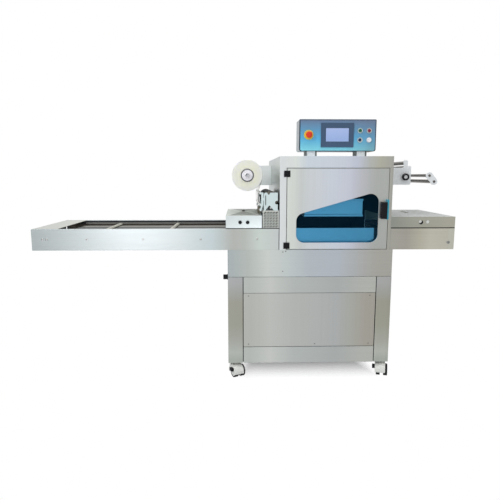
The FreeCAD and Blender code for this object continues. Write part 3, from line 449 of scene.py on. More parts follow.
def screenMaterial(low, high):
    # a plain lit page that fades a little towards its foot
    material = newMaterial("screenPage", tone(166, 186, 230), 0.22)
    tree = material.node_tree
    rise = addRange(tree, objectPlace(tree, "Z"), 0, 1, low.z, high.z)
    page = mixColours(tree, rise, tone(146, 170, 214), tone(164, 182, 224))
    return setShader(material, {"Base Color": page, "Emission Color": page, "Emission Strength": 0.25})


# painted light on the sheets: how far along the machine, or how high up on a post, and the colour there;
# these tones stand for how the studio's light and reflections fall across the steel
paintedLightTones = {
    "bed": ((-0.08, 178, 186, 188), (0.02, 190, 197, 193), (0.14, 214, 219, 216), (0.24, 208, 216, 216),
            (0.4, 195, 203, 211), (0.58, 197, 205, 215), (0.7, 196, 199, 202), (0.82, 193, 192, 187)),
    "rail": ((0.03, 192, 197, 194), (0.16, 210, 213, 210), (0.31, 194, 200, 199), (0.58, 191, 196, 197),
             (0.76, 204, 207, 203)),
    "panel": ((0.03, 190, 192, 187), (0.16, 201, 204, 200), (0.31, 196, 198, 196), (0.58, 193, 196, 198),
              (0.67, 191, 193, 188), (0.76, 188, 185, 178)),
    "cabinet": ((0.24, 230, 234, 236), (0.31, 234, 240, 237), (0.38, 219, 228, 239), (0.6, 223, 230, 243),
                (0.68, 213, 219, 238), (0.75, 200, 204, 204), (0.82, 197, 197, 185),
                (0.9, 186, 187, 182)),
    # the dip at 0.34 is a painted shadow along the window's left rim
    "door": ((0.3, 225, 230, 226), (0.34, 214, 219, 219), (0.4, 220, 225, 231), (0.55, 221, 228, 241),
             (0.64, 217, 222, 238), (0.7, 208, 210, 220), (0.8, 194, 198, 196)),
    "outfeed": ((0.92, 190, 189, 182), (1.0, 187, 185, 178), (1.08, 206, 204, 190), (1.15, 220, 218, 207),
                (1.25, 217, 215, 204)),
    "post": ((0.12, 182, 188, 182), (0.17, 194, 199, 193), (0.25, 182, 184, 177), (0.35, 173, 174, 163),
             (0.5, 172, 172, 162), (0.57, 178, 180, 177), (0.62, 184, 186, 187)),
    "conveyor": ((-1.27, 186, 193, 193), (-1.0, 197, 204, 205), (-0.7, 204, 210, 212),
                 (-0.4, 208, 215, 217), (-0.2, 199, 211, 214), (-0.07, 186, 188, 184),
                 (0.0, 192, 196, 192), (0.09, 211, 221, 216), (0.2, 209, 215, 215)),
    "hood": ((0.92, 166, 170, 163), (1.05, 184, 185, 176), (1.25, 196, 195, 184)),
}

# painted light tones above, grain, a share that lightens or darkens all of them, and the axis they follow;
# the posts on the left are painted darker and those on the right lighter, for how light falls on them
paintedLightSheets = {
    "bed": ("bed", "x"),
    "post": ("post", "z", 0.93, "Z"),
    "rightPost": ("post", "z", 1.11, "Z"),
    "rail": ("rail", "x"),
    "sidePanel": ("panel", "z"),
    "conveyor": ("conveyor", "x"),
    "cabinet": ("cabinet", "z"),
    "door": ("door", "z"),
    "outfeed": ("outfeed", "x"),
    "hood": ("hood", "x"),
}

# colour, grain, roughness and strength of the streaks
brushed = {
    "member": (186, 188, 184, "y"),
    "endCap": (214, 215, 206, "y"),
    "sideWall": (208, 213, 210, "z"),
    "vent": (200, 204, 200, "x", 0.5, 0.02),
    "slide": (156, 154, 147, "x", 0.42),
    "trim": (216, 216, 206, "z"),
    "head": (226, 230, 232, "x", 0.32, 0.03),
    "inner": (220, 224, 226, "x", 0.32, 0.03),
}

# colour, roughness and how metallic
blasted = {
    "guard": (234, 242, 244),
    # the lid's top, its shaded triangles, its creases and the hood's top are lighter and darker tones of one
    # sheet, painted for how light falls on them
    "lid": (206, 210, 204, 0.6, 0.35),
    "lidShade": (158, 161, 156, 0.6, 0.35),
    "lidCrease": (222, 224, 216, 0.6, 0.35),
    "hoodTop": (204, 207, 206, 0.5, 0.35),
    "box": (190, 194, 196),
    "foot": (112, 116, 112, 0.5, 0.4),
    "rim": (52, 70, 88, 0.45, 0.3),
    "rimTop": (92, 112, 138, 0.45, 0.3),
    "cast": (216, 230, 232, 0.48),
    "support": (246, 250, 250, 0.42, 0.0),
    "winder": (248, 250, 252, 0.42, 0.1),
}
bare = {
    # the first row is painted shade, for inner faces that lie in shade
    "dim": (58, 60, 62, 0.6, 0.4),
    "bright": (190, 190, 188, 0.25, 1.0),
    "shaft": (104, 100, 96, 0.3, 1.0),
    "chain": (92, 86, 80, 0.42, 1.0),
    "gear": (116, 112, 104, 0.38, 1.0),
    "knob": (124, 124, 118, 0.4, 0.8),
    "film": (226, 228, 214, 0.12),
}

# colour, roughness, gloss and strength of the mottle
plastics = {
    # the first two rows are painted shade: the black behind the vent's slots, and the bed's darker front
    # part
    "mat": (8, 8, 10, 0.9, 0.0),
    "slideShade": (92, 94, 92, 0.55, 0.2),
    "guideEdge": (128, 128, 124, 0.4),
    "track": (40, 42, 46, 0.5, 0.3),
    "flight": (176, 174, 162, 0.5),
    "black": (14, 14, 20, 0.42, 0.22),
    "bezel": (62, 88, 118, 0.4, 0.5, 0.02),
    "rubber": (18, 18, 20, 0.62, 0.25),
    "white": (244, 244, 238, 0.36, 0.5, 0.02),
    "ring": (206, 222, 222, 0.25, 0.5, 0.02),
    "core": (104, 104, 110, 0.6),
    "clamp": (124, 118, 102, 0.5),
    "cyan": (44, 170, 196, 0.35),
    "red": (238, 56, 16, 0.3),
    "yellow": (244, 212, 70, 0.35),
    "green": (12, 98, 60, 0.3),
    "crimson": (146, 18, 50, 0.3),
    "navy": (24, 44, 84, 0.3),
    "pearl": (252, 250, 254, 0.3, 0.5, 0.01),
}


# brushed steel whose colour follows the painted light tones along one axis
def paintedLightSteel(name, key, grain, lift=1.0, along="X"):
    stops = [(spot, shade(tone(*colour), lift)) for spot, *colour in paintedLightTones[key]]
    return brushedSteel(name, stops[len(stops) // 2][1], grain, stops=stops, along=along)


def fillFinish():
    for key, values in paintedLightSheets.items():
        finish[key] = paintedLightSteel(key + "Steel", *values)
    for make, rows, kind in ((brushedSteel, brushed, "Steel"), (blastedSteel, blasted, "Metal"),
                             (newMaterial, bare, "Plain"), (plasticMaterial, plastics, "Plastic")):
        for key, (red, green, blue, *values) in rows.items():
            finish[key] = make(key + kind, tone(red, green, blue), *values)
    setShader(finish["film"], {"Alpha": 0.42})
    finish.update(pane=paneMaterial(), roll=rollMaterial(), face=faceMaterial())


fillFinish()
print("materials ready")

# Base, bed and cabinet

housing = {
    "frameEdge": 0.0016,
    "sheetEdge": 0.0009,
    "postEnd": 0.0945,         # the rails start this far in from the base's corners
    "seamHeight": 0.0025,
    "seamDepth": 0.004,
    "sealReach": 0.0025,
    "sealReachLeft": 0.002,
    "sealBack": 0.0015,
}


def dressBed():
    # a fine seam runs round the housing where it stands on the frame
    bed = copyNode("bed_housing")
    low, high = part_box("bed_housing")
    depth = housing["seamDepth"]
    seam = addBlock("seamRing", (low.x - 0.01, low.y - 0.01, low.z - 0.001),
                    (high.x + 0.01, high.y + 0.01, low.z + housing["seamHeight"]), 0)
    core = addBlock("seamCore", (low.x + depth, low.y + depth, low.z - 0.02),
                    (high.x - depth, high.y - depth, low.z + 0.02), 0)
    cutAway(bed, cutAway(seam, core))
    softenEdges(bed, housing["frameEdge"] / 2)
    seat(bed, "bed", slotName=slotOf["bed_housing"], replaces=["bed_housing"])


def makeDoorEdge():
    # a slim seal round the door's rim, set back from its face
    low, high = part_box("door_panel")
    reach, back = housing["sealReach"], housing["sealBack"]
    seal = addBlock("doorSeal", (low.x - housing["sealReachLeft"], low.y + back, low.z - reach),
                    (high.x + reach, high.y - back, high.z + reach), 0)
    cutAway(seal, addBlock("doorSealInner", low, high, 0))
    softenEdges(seal, 0.0004)
    seat(seal, "rail", body="door", slotName=slotOf["door_panel"])


def dressHousing():
    edge, postEnd = housing["sheetEdge"], housing["postEnd"]
    low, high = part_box("base_frame")
    posts = dressNode("base_frame", "post", "rail", "rightPost", edge=housing["frameEdge"])
    # the right-hand posts take a lighter copy of the posts' painted light, the left-hand ones a darker copy
    paintFaces(posts, 2, lambda centre, normal: centre.x > (low.x + high.x) / 2)
    paintFaces(posts, 1, lambda centre, normal: low.x + postEnd < centre.x < high.x - postEnd
               or low.y + postEnd < centre.y < high.y - postEnd)
    dressNode("base_panels", "sidePanel", edge=edge)
    # the core behind the frame and panels is painted dark, as painted shade in the gaps between them
    paintNode("base_cabinet", "track")
    dressBed()
    for name in ("front_stiles", "front_header"):
        dressNode(name, "cabinet", edge=edge)
    roof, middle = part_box("cabinet_roof"), middleOf("cabinet_roof")

    def facesInside(centre, normal):
        # the inner skins of the cabinet, painted dark as the shade inside it behind the tinted pane
        if abs(normal.x) > 0.9:
            inset = min(abs(centre.x - roof[0].x), abs(centre.x - roof[1].x))
            return normal.x * (middle.x - centre.x) > 0 and inset > 0.003
        if abs(normal.y) > 0.9:
            return normal.y < 0 and centre.y > middle.y
        return normal.z < -0.9 and centre.z > middle.z - 0.01

    for name, outer in (("cabinet_side_walls", "sideWall"), ("cabinet_rear_wall", "cabinet"),
                        ("cabinet_roof", "cabinet")):
        paintFaces(dressNode(name, outer, "dim", edge=edge), 1, facesInside)
    dressNode("door_panel", "door", edge=edge)
    makeDoorEdge()
    paintNode("door_window", "pane")
    dressNode("side_switch", "black", edge=0.002)


dressHousing()
print("housing dressed")

# Conveyor

conveyor = {
    "screwRadius": 0.0065,
    "screwHeight": 0.0035,
    "screwsX": (-1.234, -1.209, -0.964, -0.624, -0.272, 0.075),
    "screwsZ": 0.9005,
    "smallScrewRadius": 0.0036,
    "smallScrewHeight": 0.0014,
    "sheetScrewInset": 0.017,
    "sheetScrewsX": (0.022, 0.444, 0.788),
    "bedScrews": ((0.2345, 0.697), (0.2345, 0.818), (0.252, 0.822)),
    "linkCount": 158,
    "linkThickness": 0.0016,
    "linkRadius": 0.0048,
    "rollerRadius": 0.0045,
    "chainWidth": 0.012,
    "teeth": 13,
    "toothLength": 0.009,
    "lipReach": 0.032,         # from a chain guide's outer side to the edge of its lip
    "lipDrop": 0.010,          # from its top to the lip's underside
    "stripHeight": 0.0105,
    "bedSplit": -0.055,        # the painted shade on the front part of the bed ends here
}


def makeScrew(name, radius, height):
    # a button head that faces the front, with a hexagonal socket
    screw = addRod(name, (0, -height, 0), radius, height, "y", 24, radius * 0.22, 3)
    return cutAway(screw, addRod("socket", (0, -1.5 * height, 0), radius * 0.42, height, "y", 6, 0))


def screwsAt(name, places, radius, height, key):
    screws = repeatAt(name, makeScrew(name + "One", radius, height), places)
    return seat(smoothByAngle(screws), key, slotName="chain_steel")


def makePanelScrews():
    # a row on the infeed's front panel, and the same row on the far side
    low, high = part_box("infeed_side_panels")
    places = [(x, low.y, conveyor["screwsZ"]) for x in conveyor["screwsX"]]
    near = screwsAt("panelScrews", places, conveyor["screwRadius"], conveyor["screwHeight"], "bright")
    pickOnly(near)
    bpy.ops.object.duplicate()
    far = bpy.context.object
    far.parent = None
    bpy.ops.object.mode_set(mode="EDIT")
    bpy.ops.mesh.select_all(action="SELECT")
    bpy.ops.transform.resize(value=(1, -1, 1), center_override=(0, (low.y + high.y) / 2, 0))
    bpy.ops.mesh.normals_make_consistent(inside=False)
    leaveEdit()
    far.name = "farPanelScrews"
    seat(far, slotName="chain_steel")


def makeSheetScrews():
    # small screws in the front sheet of the base and under the door's lower hinge
    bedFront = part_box("bed_housing")[0].y
    low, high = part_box("base_panels")
    foot, top = low.z + conveyor["sheetScrewInset"], high.z - conveyor["sheetScrewInset"]
    left, middle, right = conveyor["sheetScrewsX"]
    places = [(x, bedFront, z) for x, z in conveyor["bedScrews"]]
    places += [(x, low.y, foot) for x in (left, middle, right)] + [(x, low.y, top) for x in (left, right)]
    screwsAt("sheetScrews", places, conveyor["smallScrewRadius"], conveyor["smallScrewHeight"], "knob")


def makeLinks(chainY, tailX, headX, middleZ, pitchRadius):
    # roller chain: rollers at even steps round the loop, with inner and outer plates in turn
    run = headX - tailX
    lap = run + math.pi * pitchRadius
    step = 2 * lap / conveyor["linkCount"]
    width, thickness = conveyor["chainWidth"], conveyor["linkThickness"]
    half = width / 2

    def pointAt(travel):
        # along the top and round the head, then back underneath and round the tail
        back, travel = divmod(travel % (2 * lap), lap)
        side, start, end = (-1, headX, tailX) if back else (1, tailX, headX)
        if travel <= run:
            return Vector((start + side * travel, 0, middleZ + side * pitchRadius))
        angle = side * math.pi / 2 - (travel - run) / pitchRadius
        return Vector((end + pitchRadius * math.cos(angle), 0, middleZ + pitchRadius * math.sin(angle)))

    roller = addRod("roller", (0, -width * 0.4, 0), conveyor["rollerRadius"], width * 0.8, "y", 10, 0)
    strap = addRod("strap", (0, -thickness / 2, 0), conveyor["linkRadius"], thickness, "y", 10, 0)
    bpy.ops.object.mode_set(mode="EDIT")
    bpy.ops.mesh.select_mode(type="VERT")
    bpy.ops.mesh.select_all(action="DESELECT")
    leaveEdit()
    for vertex in strap.data.vertices:
        vertex.select = vertex.co.x > 0
    bpy.ops.object.mode_set(mode="EDIT")
    bpy.ops.transform.translate(value=(step, 0, 0))
    leaveEdit()
    plates = [joinPieces("plates", [copyTo(strap, (0, side * (gap + thickness / 2), 0)) for side in (-1, 1)])
              for gap in (half * 0.62, half - thickness)]
    links = []
    for index in range(conveyor["linkCount"]):
        here, there = pointAt(index * step), pointAt((index + 1) * step)
        along = (there - here).normalized()
        lean = Matrix.Rotation(math.atan2(-along.z, along.x), 4, "Y")
        spot = Matrix.Translation(here + Vector((0, chainY + half, 0)))
        links += [copyTo(source, turn=spot @ lean) for source in (roller, plates[index % 2])]
    for source in [roller, strap] + plates:
        bpy.data.objects.remove(source)
    return joinPieces("chainLinks", links)


def makeToothedWheel(x, y, z, radius):
    thickness, count = conveyor["chainWidth"] - 0.006, conveyor["teeth"]
    wheel = addRod("toothedWheel", (x, y, z), radius - 0.006, thickness, "y", count * 4, 0)
    for tooth in range(count):
        angle = 2 * math.pi * (tooth + 0.5) / count
        out = Vector((math.cos(angle), 0, math.sin(angle)))
        editFaces(wheel, lambda centre, normal: normal.dot(out) > 0.995 and abs(normal.y) < 0.1)
        extrudeBy(out * conveyor["toothLength"], (0.5, 1, 0.5), Vector((x, y, z)) + out * (radius + 0.003))
        leaveEdit()
    return wheel


def dressChains():
    shaftLow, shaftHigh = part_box("sprocket_shafts")
    shaftRadius = (shaftHigh.z - shaftLow.z) / 2
    tailX, headX = shaftLow.x + shaftRadius, shaftHigh.x - shaftRadius
    low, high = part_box("conveyor_chains")
    middleZ, width = (low.z + high.z) / 2, conveyor["chainWidth"]
    pitchRadius = (high.z - low.z) / 2 - 0.005
    near = makeLinks(low.y, tailX, headX, middleZ, pitchRadius)
    far = copyTo(near, (0, high.y - low.y - width, 0))
    chains = smoothByAngle(joinPieces("chainLinks", [near, far]), 30)
    seat(chains, "chain", slotName="chain_steel", replaces=["conveyor_chains"])
    dressNode("sprocket_shafts", "shaft", edge=0)
    wheels = [makeToothedWheel(x, y + 0.003, middleZ, pitchRadius) for x in (tailX, headX)
              for y in (low.y, high.y - width)]
    seat(smoothByAngle(joinPieces("chainWheels", wheels)), "gear", slotName="chain_steel")


def makeGuideStrips():
    # a grey wear strip hangs from the lip of each chain guide
    low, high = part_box("chain_guides")
    lip, reach = high.z - conveyor["lipDrop"], conveyor["lipReach"]
    strips = [addBlock("wearStrip", (low.x, y - 0.001, lip - conveyor["stripHeight"]),
                       (high.x, y + 0.001, lip + 0.0005), 0.0003) for y in (low.y + reach, high.y - reach)]
    seat(joinPieces("wearStrips", strips), "guideEdge", slotName=slotOf["chain_guides"])


def dressPanels(name, key):
    # side panels whose rear one has its inner face painted as shade
    panels = dressNode(name, key, "dim")
    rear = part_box(name)[1].y - 0.004
    paintFaces(panels, 1, lambda centre, normal: normal.y < -0.9 and centre.y > rear)


def dressConveyor():
    dressPanels("infeed_side_panels", "conveyor")
    dressNode("infeed_end_cap", "endCap")
    dressNode("chain_guides", "track")
    makeGuideStrips()
    bed = dressNode("tray_bed", "slide", "slideShade", edge=0.0006)
    # the front part of the bed is painted darker, as painted shade
    split = conveyor["bedSplit"]
    splitAt(bed, (0, split, 0), (0, 1, 0))
    paintFaces(bed, 1, lambda centre, normal: centre.y < split)
    dressNode("cross_members", "member", edge=0.0012)
    dressNode("flights", "flight", edge=0.0012)
    makePanelScrews()
    makeSheetScrews()
    dressChains()


dressConveyor()
print("conveyor dressed")

# Guards

guards = {
    "edge": 0.001,
    "lidRise": 0.006,          # from the rim of the lid to its middle
    "borderInset": 0.019,
    "creaseWidth": 0.004,
    "creaseHeight": 0.0014,
    "plugRadius": 0.011,
    "plugSpacing": 0.046,
    "plugHeight": 0.0038,
    "plugRim": 0.0025,
    "plugDish": 0.0016,
    "knobRadius": 0.0105,
    "knobHeight": 0.008,
    "knobCap": 0.003,
    "knobSink": 0.002,
    "matInset": 0.004,
    "matGap": 0.0006,
    "matThickness": 0.003,
    "shadeStripHeight": 0.0046,
    "shadeStripProud": 0.0008,
    "shadeStripTops": (0.058, 0.085),         # heights of the strips left and right of the vent
}


def layBar(name, start, end):
    # a thin raised line from one point to another along the lid
    run = end - start
    reach = Vector((run.length, guards["creaseWidth"], guards["creaseHeight"])) / 2
    bar = addBlock(name, -reach, reach, 0)
    editFaces(bar, facesUp)
    bpy.ops.transform.resize(value=(1, 0.4, 1), center_override=(0, 0, 0))
    leaveEdit()
    lean = run.to_track_quat("X", "Z").to_matrix().to_4x4()
    bar.matrix_world = Matrix.Translation((start + end) / 2) @ lean
    return setInMesh(bar)


def makeLidCreases():
    # raised lines round the lid and from its corners to its middle, painted lighter than the lid as a
    # highlight on the creases
    low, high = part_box("guard_box")
    middle = middleOf("guard_box")
    middle.z = high.z
    share = 1 - guards["borderInset"] / ((high.x - low.x) / 2)
    corners = [middle + (Vector((x, y, high.z - guards["lidRise"])) - middle) * share
               for x, y in ((low.x, low.y), (high.x, low.y), (high.x, high.y), (low.x, high.y))]
    bars = []
    for index, corner in enumerate(corners):
        bars.append(layBar("lidCrease", corner, middle))
        bars.append(layBar("lidBorder", corner, corners[(index + 1) % 4]))
    seat(joinPieces("lidCreases", bars), "lidCrease", slotName=slotOf["guard_box"])
    return middle


def makePlugs():
    # dished caps in the front of the guard
    low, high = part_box("guard_box")
    depth, middleX = guards["plugHeight"], (low.x + high.x) / 2
    height = (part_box("infeed_side_panels")[1].z + high.z - guards["lidRise"]) / 2
    plugs = []
    for side in (-0.5, 0.5):
        plug = addRod("plug", (middleX + side * guards["plugSpacing"], low.y - depth, height),
                      guards["plugRadius"], depth, "y", 40, 0)
        insetFaces(plug, facesFront, (guards["plugRim"], -guards["plugDish"]))
        plugs.append(softenEdges(plug, 0.0006))
    seat(joinPieces("guardPlugs", plugs), "black", slotName="black_plastic", replaces=["plugs_and_knob"])


def makeKnob(middle):
    # a narrow neck under a wider cap
    foot = middle - Vector((0, 0, guards["knobSink"]))
    knob = addRod("lidKnob", foot, guards["knobRadius"] * 0.6, guards["knobHeight"], "z", 40, 0)
    editFaces(knob, facesUp)
    bpy.ops.transform.resize(value=(1.66, 1.66, 1), center_override=middle)
    extrudeBy((0, 0, guards["knobCap"]))
    leaveEdit()
    seat(softenEdges(knob, 0.0012, 3), "knob", slotName="black_plastic")


def makeVentShade():
    # a black sheet behind the slots, standing for the shade inside the vent
    low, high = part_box("vent_panel")
    inset, front = guards["matInset"], high.y + guards["matGap"]
    mat = addBlock("ventShadeSheet", (low.x + inset, front, low.z + inset),
                   (high.x - inset, front + guards["matThickness"], high.z - inset), 0.0005, 1)
    seat(mat, "mat", slotName="black_plastic")


def makeGuardShadeStrips():
    # painted shade: black strips for the shadow line under the guard and the vent, and for the shade in the
    # gaps beside the vent
    guardLow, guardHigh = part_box("guard_box")
    ventLow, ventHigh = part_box("vent_panel")
    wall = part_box("front_stiles")[0].x
    front, foot = guardLow.y, guardLow.z
    strips = [addBlock("seal", (guardLow.x, front - guards["shadeStripProud"], foot),
                       (wall, front + 0.001, foot + guards["shadeStripHeight"]), 0.0003)]
    gaps = ((guardHigh.x, ventLow.x), (ventHigh.x, wall))
    for (left, right), top in zip(gaps, guards["shadeStripTops"]):
        strips.append(addBlock("seal", (left, front + 0.0005, foot), (right, front + 0.003, foot + top),
                               0.0003))
    seat(joinPieces("guardShadeStrips", strips), "rubber", slotName="black_plastic")


def dressGuards():
    lid = dressNode("guard_box", "guard", "lid", "lidShade", edge=guards["edge"])
    low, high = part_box("guard_box")
    half = (high - low) / 2
    middle = low + half
    insetFaces(lid, lambda centre, normal: normal.z > 0.99, (guards["borderInset"], 0))
    smoothByAngle(lid, 1.5)
    # painted light on the guard: the lid's top is painted darker than the sides, and its front and back
    # triangles darker still as painted shade
    paintFaces(lid, 1, lambda centre, normal: normal.z > 0.8)
    border = 1 - 1.2 * guards["borderInset"] / half.y
    paintFaces(lid, 2, lambda centre, normal: normal.z > 0.99
               and abs(centre.x - middle.x) / half.x < abs(centre.y - middle.y) / half.y < border)
    dressNode("vent_bridge", "guard", edge=guards["edge"])
    dressNode("vent_panel", "vent", edge=0.0004, segments=1)
    makeGuardShadeStrips()
    top = makeLidCreases()
    makePlugs()
    makeKnob(top)
    makeVentShade()


dressGuards()
print("guards dressed")

# Film feed and reel

feed = {
    "plate": 0.012,            # thickness of the front plate
    "bearingDepth": 0.03,
    "gearStart": 0.0105,       # from the drive roller's front end
    "gearWidth": 0.0125,
    "clampHeight": 0.045,
    "clampDepth": 0.08,
    "discInset": 0.004,
    "discRim": 0.006,
    "socketRadius": 0.0055,
    "socketHeight": 0.0012,
}


def dressFeed():
    plates = dressNode("feed_plates", "cast", "dim")
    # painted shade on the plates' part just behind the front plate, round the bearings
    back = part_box("feed_plates")[0].y + feed["plate"] - 0.0002
    paintFaces(plates, 1, lambda centre, normal: back < centre.y < back + feed["bearingDepth"])
    drum = dressNode("drive_roller", "rubber", "gear", edge=0)
    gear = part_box("drive_roller")[0].y + feed["gearStart"]
    paintFaces(drum, 1, lambda centre, normal: gear < centre.y < gear + feed["gearWidth"])
    rollers = dressNode("feed_rollers", "bright", "clamp", edge=0.0004)
    top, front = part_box("feed_rollers")[0].z + feed["clampHeight"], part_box("film_roll")[0].y
    back = front + feed["clampDepth"]
    paintFaces(rollers, 1, lambda centre, normal: centre.z < top and front < centre.y < back
               and max(abs(part) for part in normal) > 0.9)


def dressReel():
    dressNode("film_roll", "roll", edge=0.003, segments=3)
    dressNode("reel_core", "core", edge=0.0006)
    low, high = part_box("reel_shaft")
    radius = (high.x - low.x) / 2
    x, z, rim = low.x + radius, high.z - radius, radius - feed["discRim"]
    disc = dressNode("reel_shaft", "pearl", "core", edge=0.001)
    insetFaces(disc, lambda centre, normal: facesFront(centre, normal) and centre.y < low.y + 0.001,
               (feed["discInset"], 0))
    paintFaces(disc, 1, lambda centre, normal: centre.y < low.y + 0.002
               and math.hypot(centre.x - x, centre.z - z) > rim)
    dressNode("reel_support", "support", edge=0.001)
    paintNode("film_web", "film")
    middle = middleOf("film_roll")
    socket = addRod("shaftSocket", (middle.x, low.y - feed["socketHeight"], middle.z), feed["socketRadius"],
                    0.002, "y", 24, 0.0004)
    seat(socket, "box", body="film_reel", slotName="white_plastic")


dressFeed()
dressReel()
print("film feed dressed")

# Sealing station

station = {
    "angleLeft": 0.0105,       # how far the dark angle reaches to each side of the inner panel's end
    "angleRight": 0.007,
    "angleThickness": 0.0015,
}


def dressStation():
    for name, key, edge in (("sealing_head", "head", 0.0015), ("head_carrier", "shaft", 0.001),
                            ("lower_tool", "head", 0.0012), ("inner_side_panel", "inner", 0.0005)):
        dressNode(name, key, edge=edge)
    low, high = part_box("inner_side_panel")
    angle = addBlock("innerAngle", (high.x - station["angleLeft"], low.y - station["angleThickness"], low.z),
                     (high.x + station["angleRight"], low.y, high.z), 0.0003)
    # the angle takes the painted shade colour of the cabinet's inside
    seat(angle, "dim", slotName=slotOf["inner_side_panel"])


dressStation()
print("sealing station dressed")

# Rewinder and outfeed

outfeed = {
    "linkRadius": 0.022,
    "linkStep": (0.032, 0.038),         # from the lower link screw to the upper one, left and up
    "linkScrewRadius": 0.008,
    "linkScrewHeight": 0.004,
    "linkFront": 0.0115,
    "capRadius": 0.0142,
    "capDepth": 0.0055,
    "sensorRim": 0.004,
    "shadowHeight": 0.0012,
    "shadowShift": (0.003, -0.003),
    "shadowCutShift": (-0.004, 0.004),
    "trimWidth": 0.038,
    "trimThickness": 0.0006,
    "seamHeight": 0.005,
    "shadeLineRise": 0.001,
    "shadeLineReach": 0.0007,
    "boltX": 1.265,
    "boltZ": 0.876,
    "boltRadius": 0.0095,
    "boltHeight": 0.005,
}


def linkScrews():
    # cap screws that hold the two tension rollers in the link
    low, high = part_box("waste_rollers")
    x, z = high.x - outfeed["linkRadius"], low.z + outfeed["linkRadius"]
    left, up = outfeed["linkStep"]
    screwsAt("linkScrews", [(x - left, low.y, z + up), (x, low.y, z)], outfeed["linkScrewRadius"],
             outfeed["linkScrewHeight"], "shaft")


def dressRewinder():
    dressNode("rewind_plates", "winder", edge=0.0012)
    rollers = dressNode("waste_rollers", "shaft", "winder")
    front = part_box("rewind_plates")[0].y - outfeed["linkFront"]
    paintFaces(rollers, 1, lambda centre, normal: centre.y < front)
    dressNode("rewind_shaft", "black", edge=0.0012)
    start = middleOf("rewind_shaft")
    start.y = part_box("rewind_shaft")[0].y + outfeed["capDepth"]
    cap = addRod("spindleCap", start, outfeed["capRadius"], 0.004, "y", 40)
    seat(cap, "winder", body="rewinder", slotName=slotOf["rewind_shaft"])
    linkScrews()


def dressSensors(front):
    # two round sensors in the hood, and a black crescent at the left one's rim as a painted shadow in its
    # hole
    sensors = dressNode("hood_sensors", "white", "black")
    low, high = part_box("hood_sensors")
    radius = (high.z - low.z) / 2
    paintFaces(sensors, 1, lambda centre, normal: centre.y > low.y + outfeed["sensorRim"])
    x, z = low.x + radius, low.z + radius
    right, up = outfeed["shadowShift"]
    shadow = addRod("sensorShadow", (x + right, front - outfeed["shadowHeight"], z + up), radius,
                     outfeed["shadowHeight"], "y", 40, 0)
    right, up = outfeed["shadowCutShift"]
    shadowCut = addRod("sensorShadowCut", (x + right, front - 0.01, z + up), radius * 0.92, 0.02, "y", 40, 0)
    seat(softenEdges(cutAway(shadow, shadowCut), 0.0002), "black", slotName="black_plastic")


def dressOutfeed():
    low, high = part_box("outfeed_side_panels")
    dressPanels("outfeed_side_panels", "outfeed")
    dressNode("outfeed_bed", "slide", edge=0.0006)
    hood = dressNode("outfeed_hood", "hood", "hoodTop", edge=0.001)
    # the hood's top is painted its own lighter tone, for the light falling on it
    paintFaces(hood, 1, lambda centre, normal: normal.z > 0.3)
    dressSensors(low.y)
    trim = addBlock("endTrim", (high.x - outfeed["trimWidth"], low.y - outfeed["trimThickness"], low.z),
                    (high.x, low.y, high.z), 0.0002, 1)
    seat(trim, "trim", slotName="brushed_steel")
    # painted shade: black strips along the foot of the hood, front and back, standing for the shadow line
    # where the hood meets the side panels
    foot, reach = high.z + outfeed["shadeLineRise"], outfeed["shadeLineReach"]
    top = foot + outfeed["seamHeight"]
    shadeLines = [addBlock("hoodShadeLine", (low.x, y - reach, foot), (high.x, y + reach, top), 0.0002)
             for y in (low.y, high.y)]
    seat(joinPieces("hoodShadeLine", shadeLines), "rubber", slotName="black_plastic")
    screwsAt("outfeedBolt", [(outfeed["boltX"], low.y, outfeed["boltZ"])], outfeed["boltRadius"],
             outfeed["boltHeight"], "lidShade")


dressRewinder()
dressOutfeed()
print("outfeed dressed")

# Control box and door fittings

control = {
    "nodeRadius": 0.015,       # of the plain buttons that the rings replace
    "ringRadius": 0.0165,
    "ringHeight": 0.005,
    "ringInset": 0.0035,
    "ringDish": 0.0025,
    "capRadius": 0.0098,
    "capLengths": {"startCap": 0.0085, "haltCap": 0.0085, "modeCap": 0.006, "lampCap": 0.0095},
    "lampShare": 1.4,          # the lamp is wider than the other caps
    "handleFront": 0.0098,
    "handleBack": 0.0055,
    "stopRing": 0.030,
    "stopRingHeight": 0.006,
    "stopNeck": 0.0124,
    "stopFront": 0.0295,
    "stopLength": 0.0255,
    # the cap of the stop button from its neck: how far each step goes and how wide it ends
    "stopSteps": ((0.002, 1.6), (0.006, 1), (0.004, 0.8), (0.0015, 0.5)),
    "glassInset": 0.031,
    "glassFoot": 0.0345,
    "glassTop": 0.0324,
    "glassDepths": (0.0012, 0.0018),
    "faceRim": 0.003,
    "crownDepth": 0.012,
    "footWidth": 0.073,
    "footLeg": 0.010,
    "footLegDepth": 0.064,
    "footHeel": 0.003,
    "footsX": (0.380, 0.694),
    "footsY": (-0.384, -0.276),
    "stripWidth": 0.0101,      # the cyan strip beside the door's handle
}


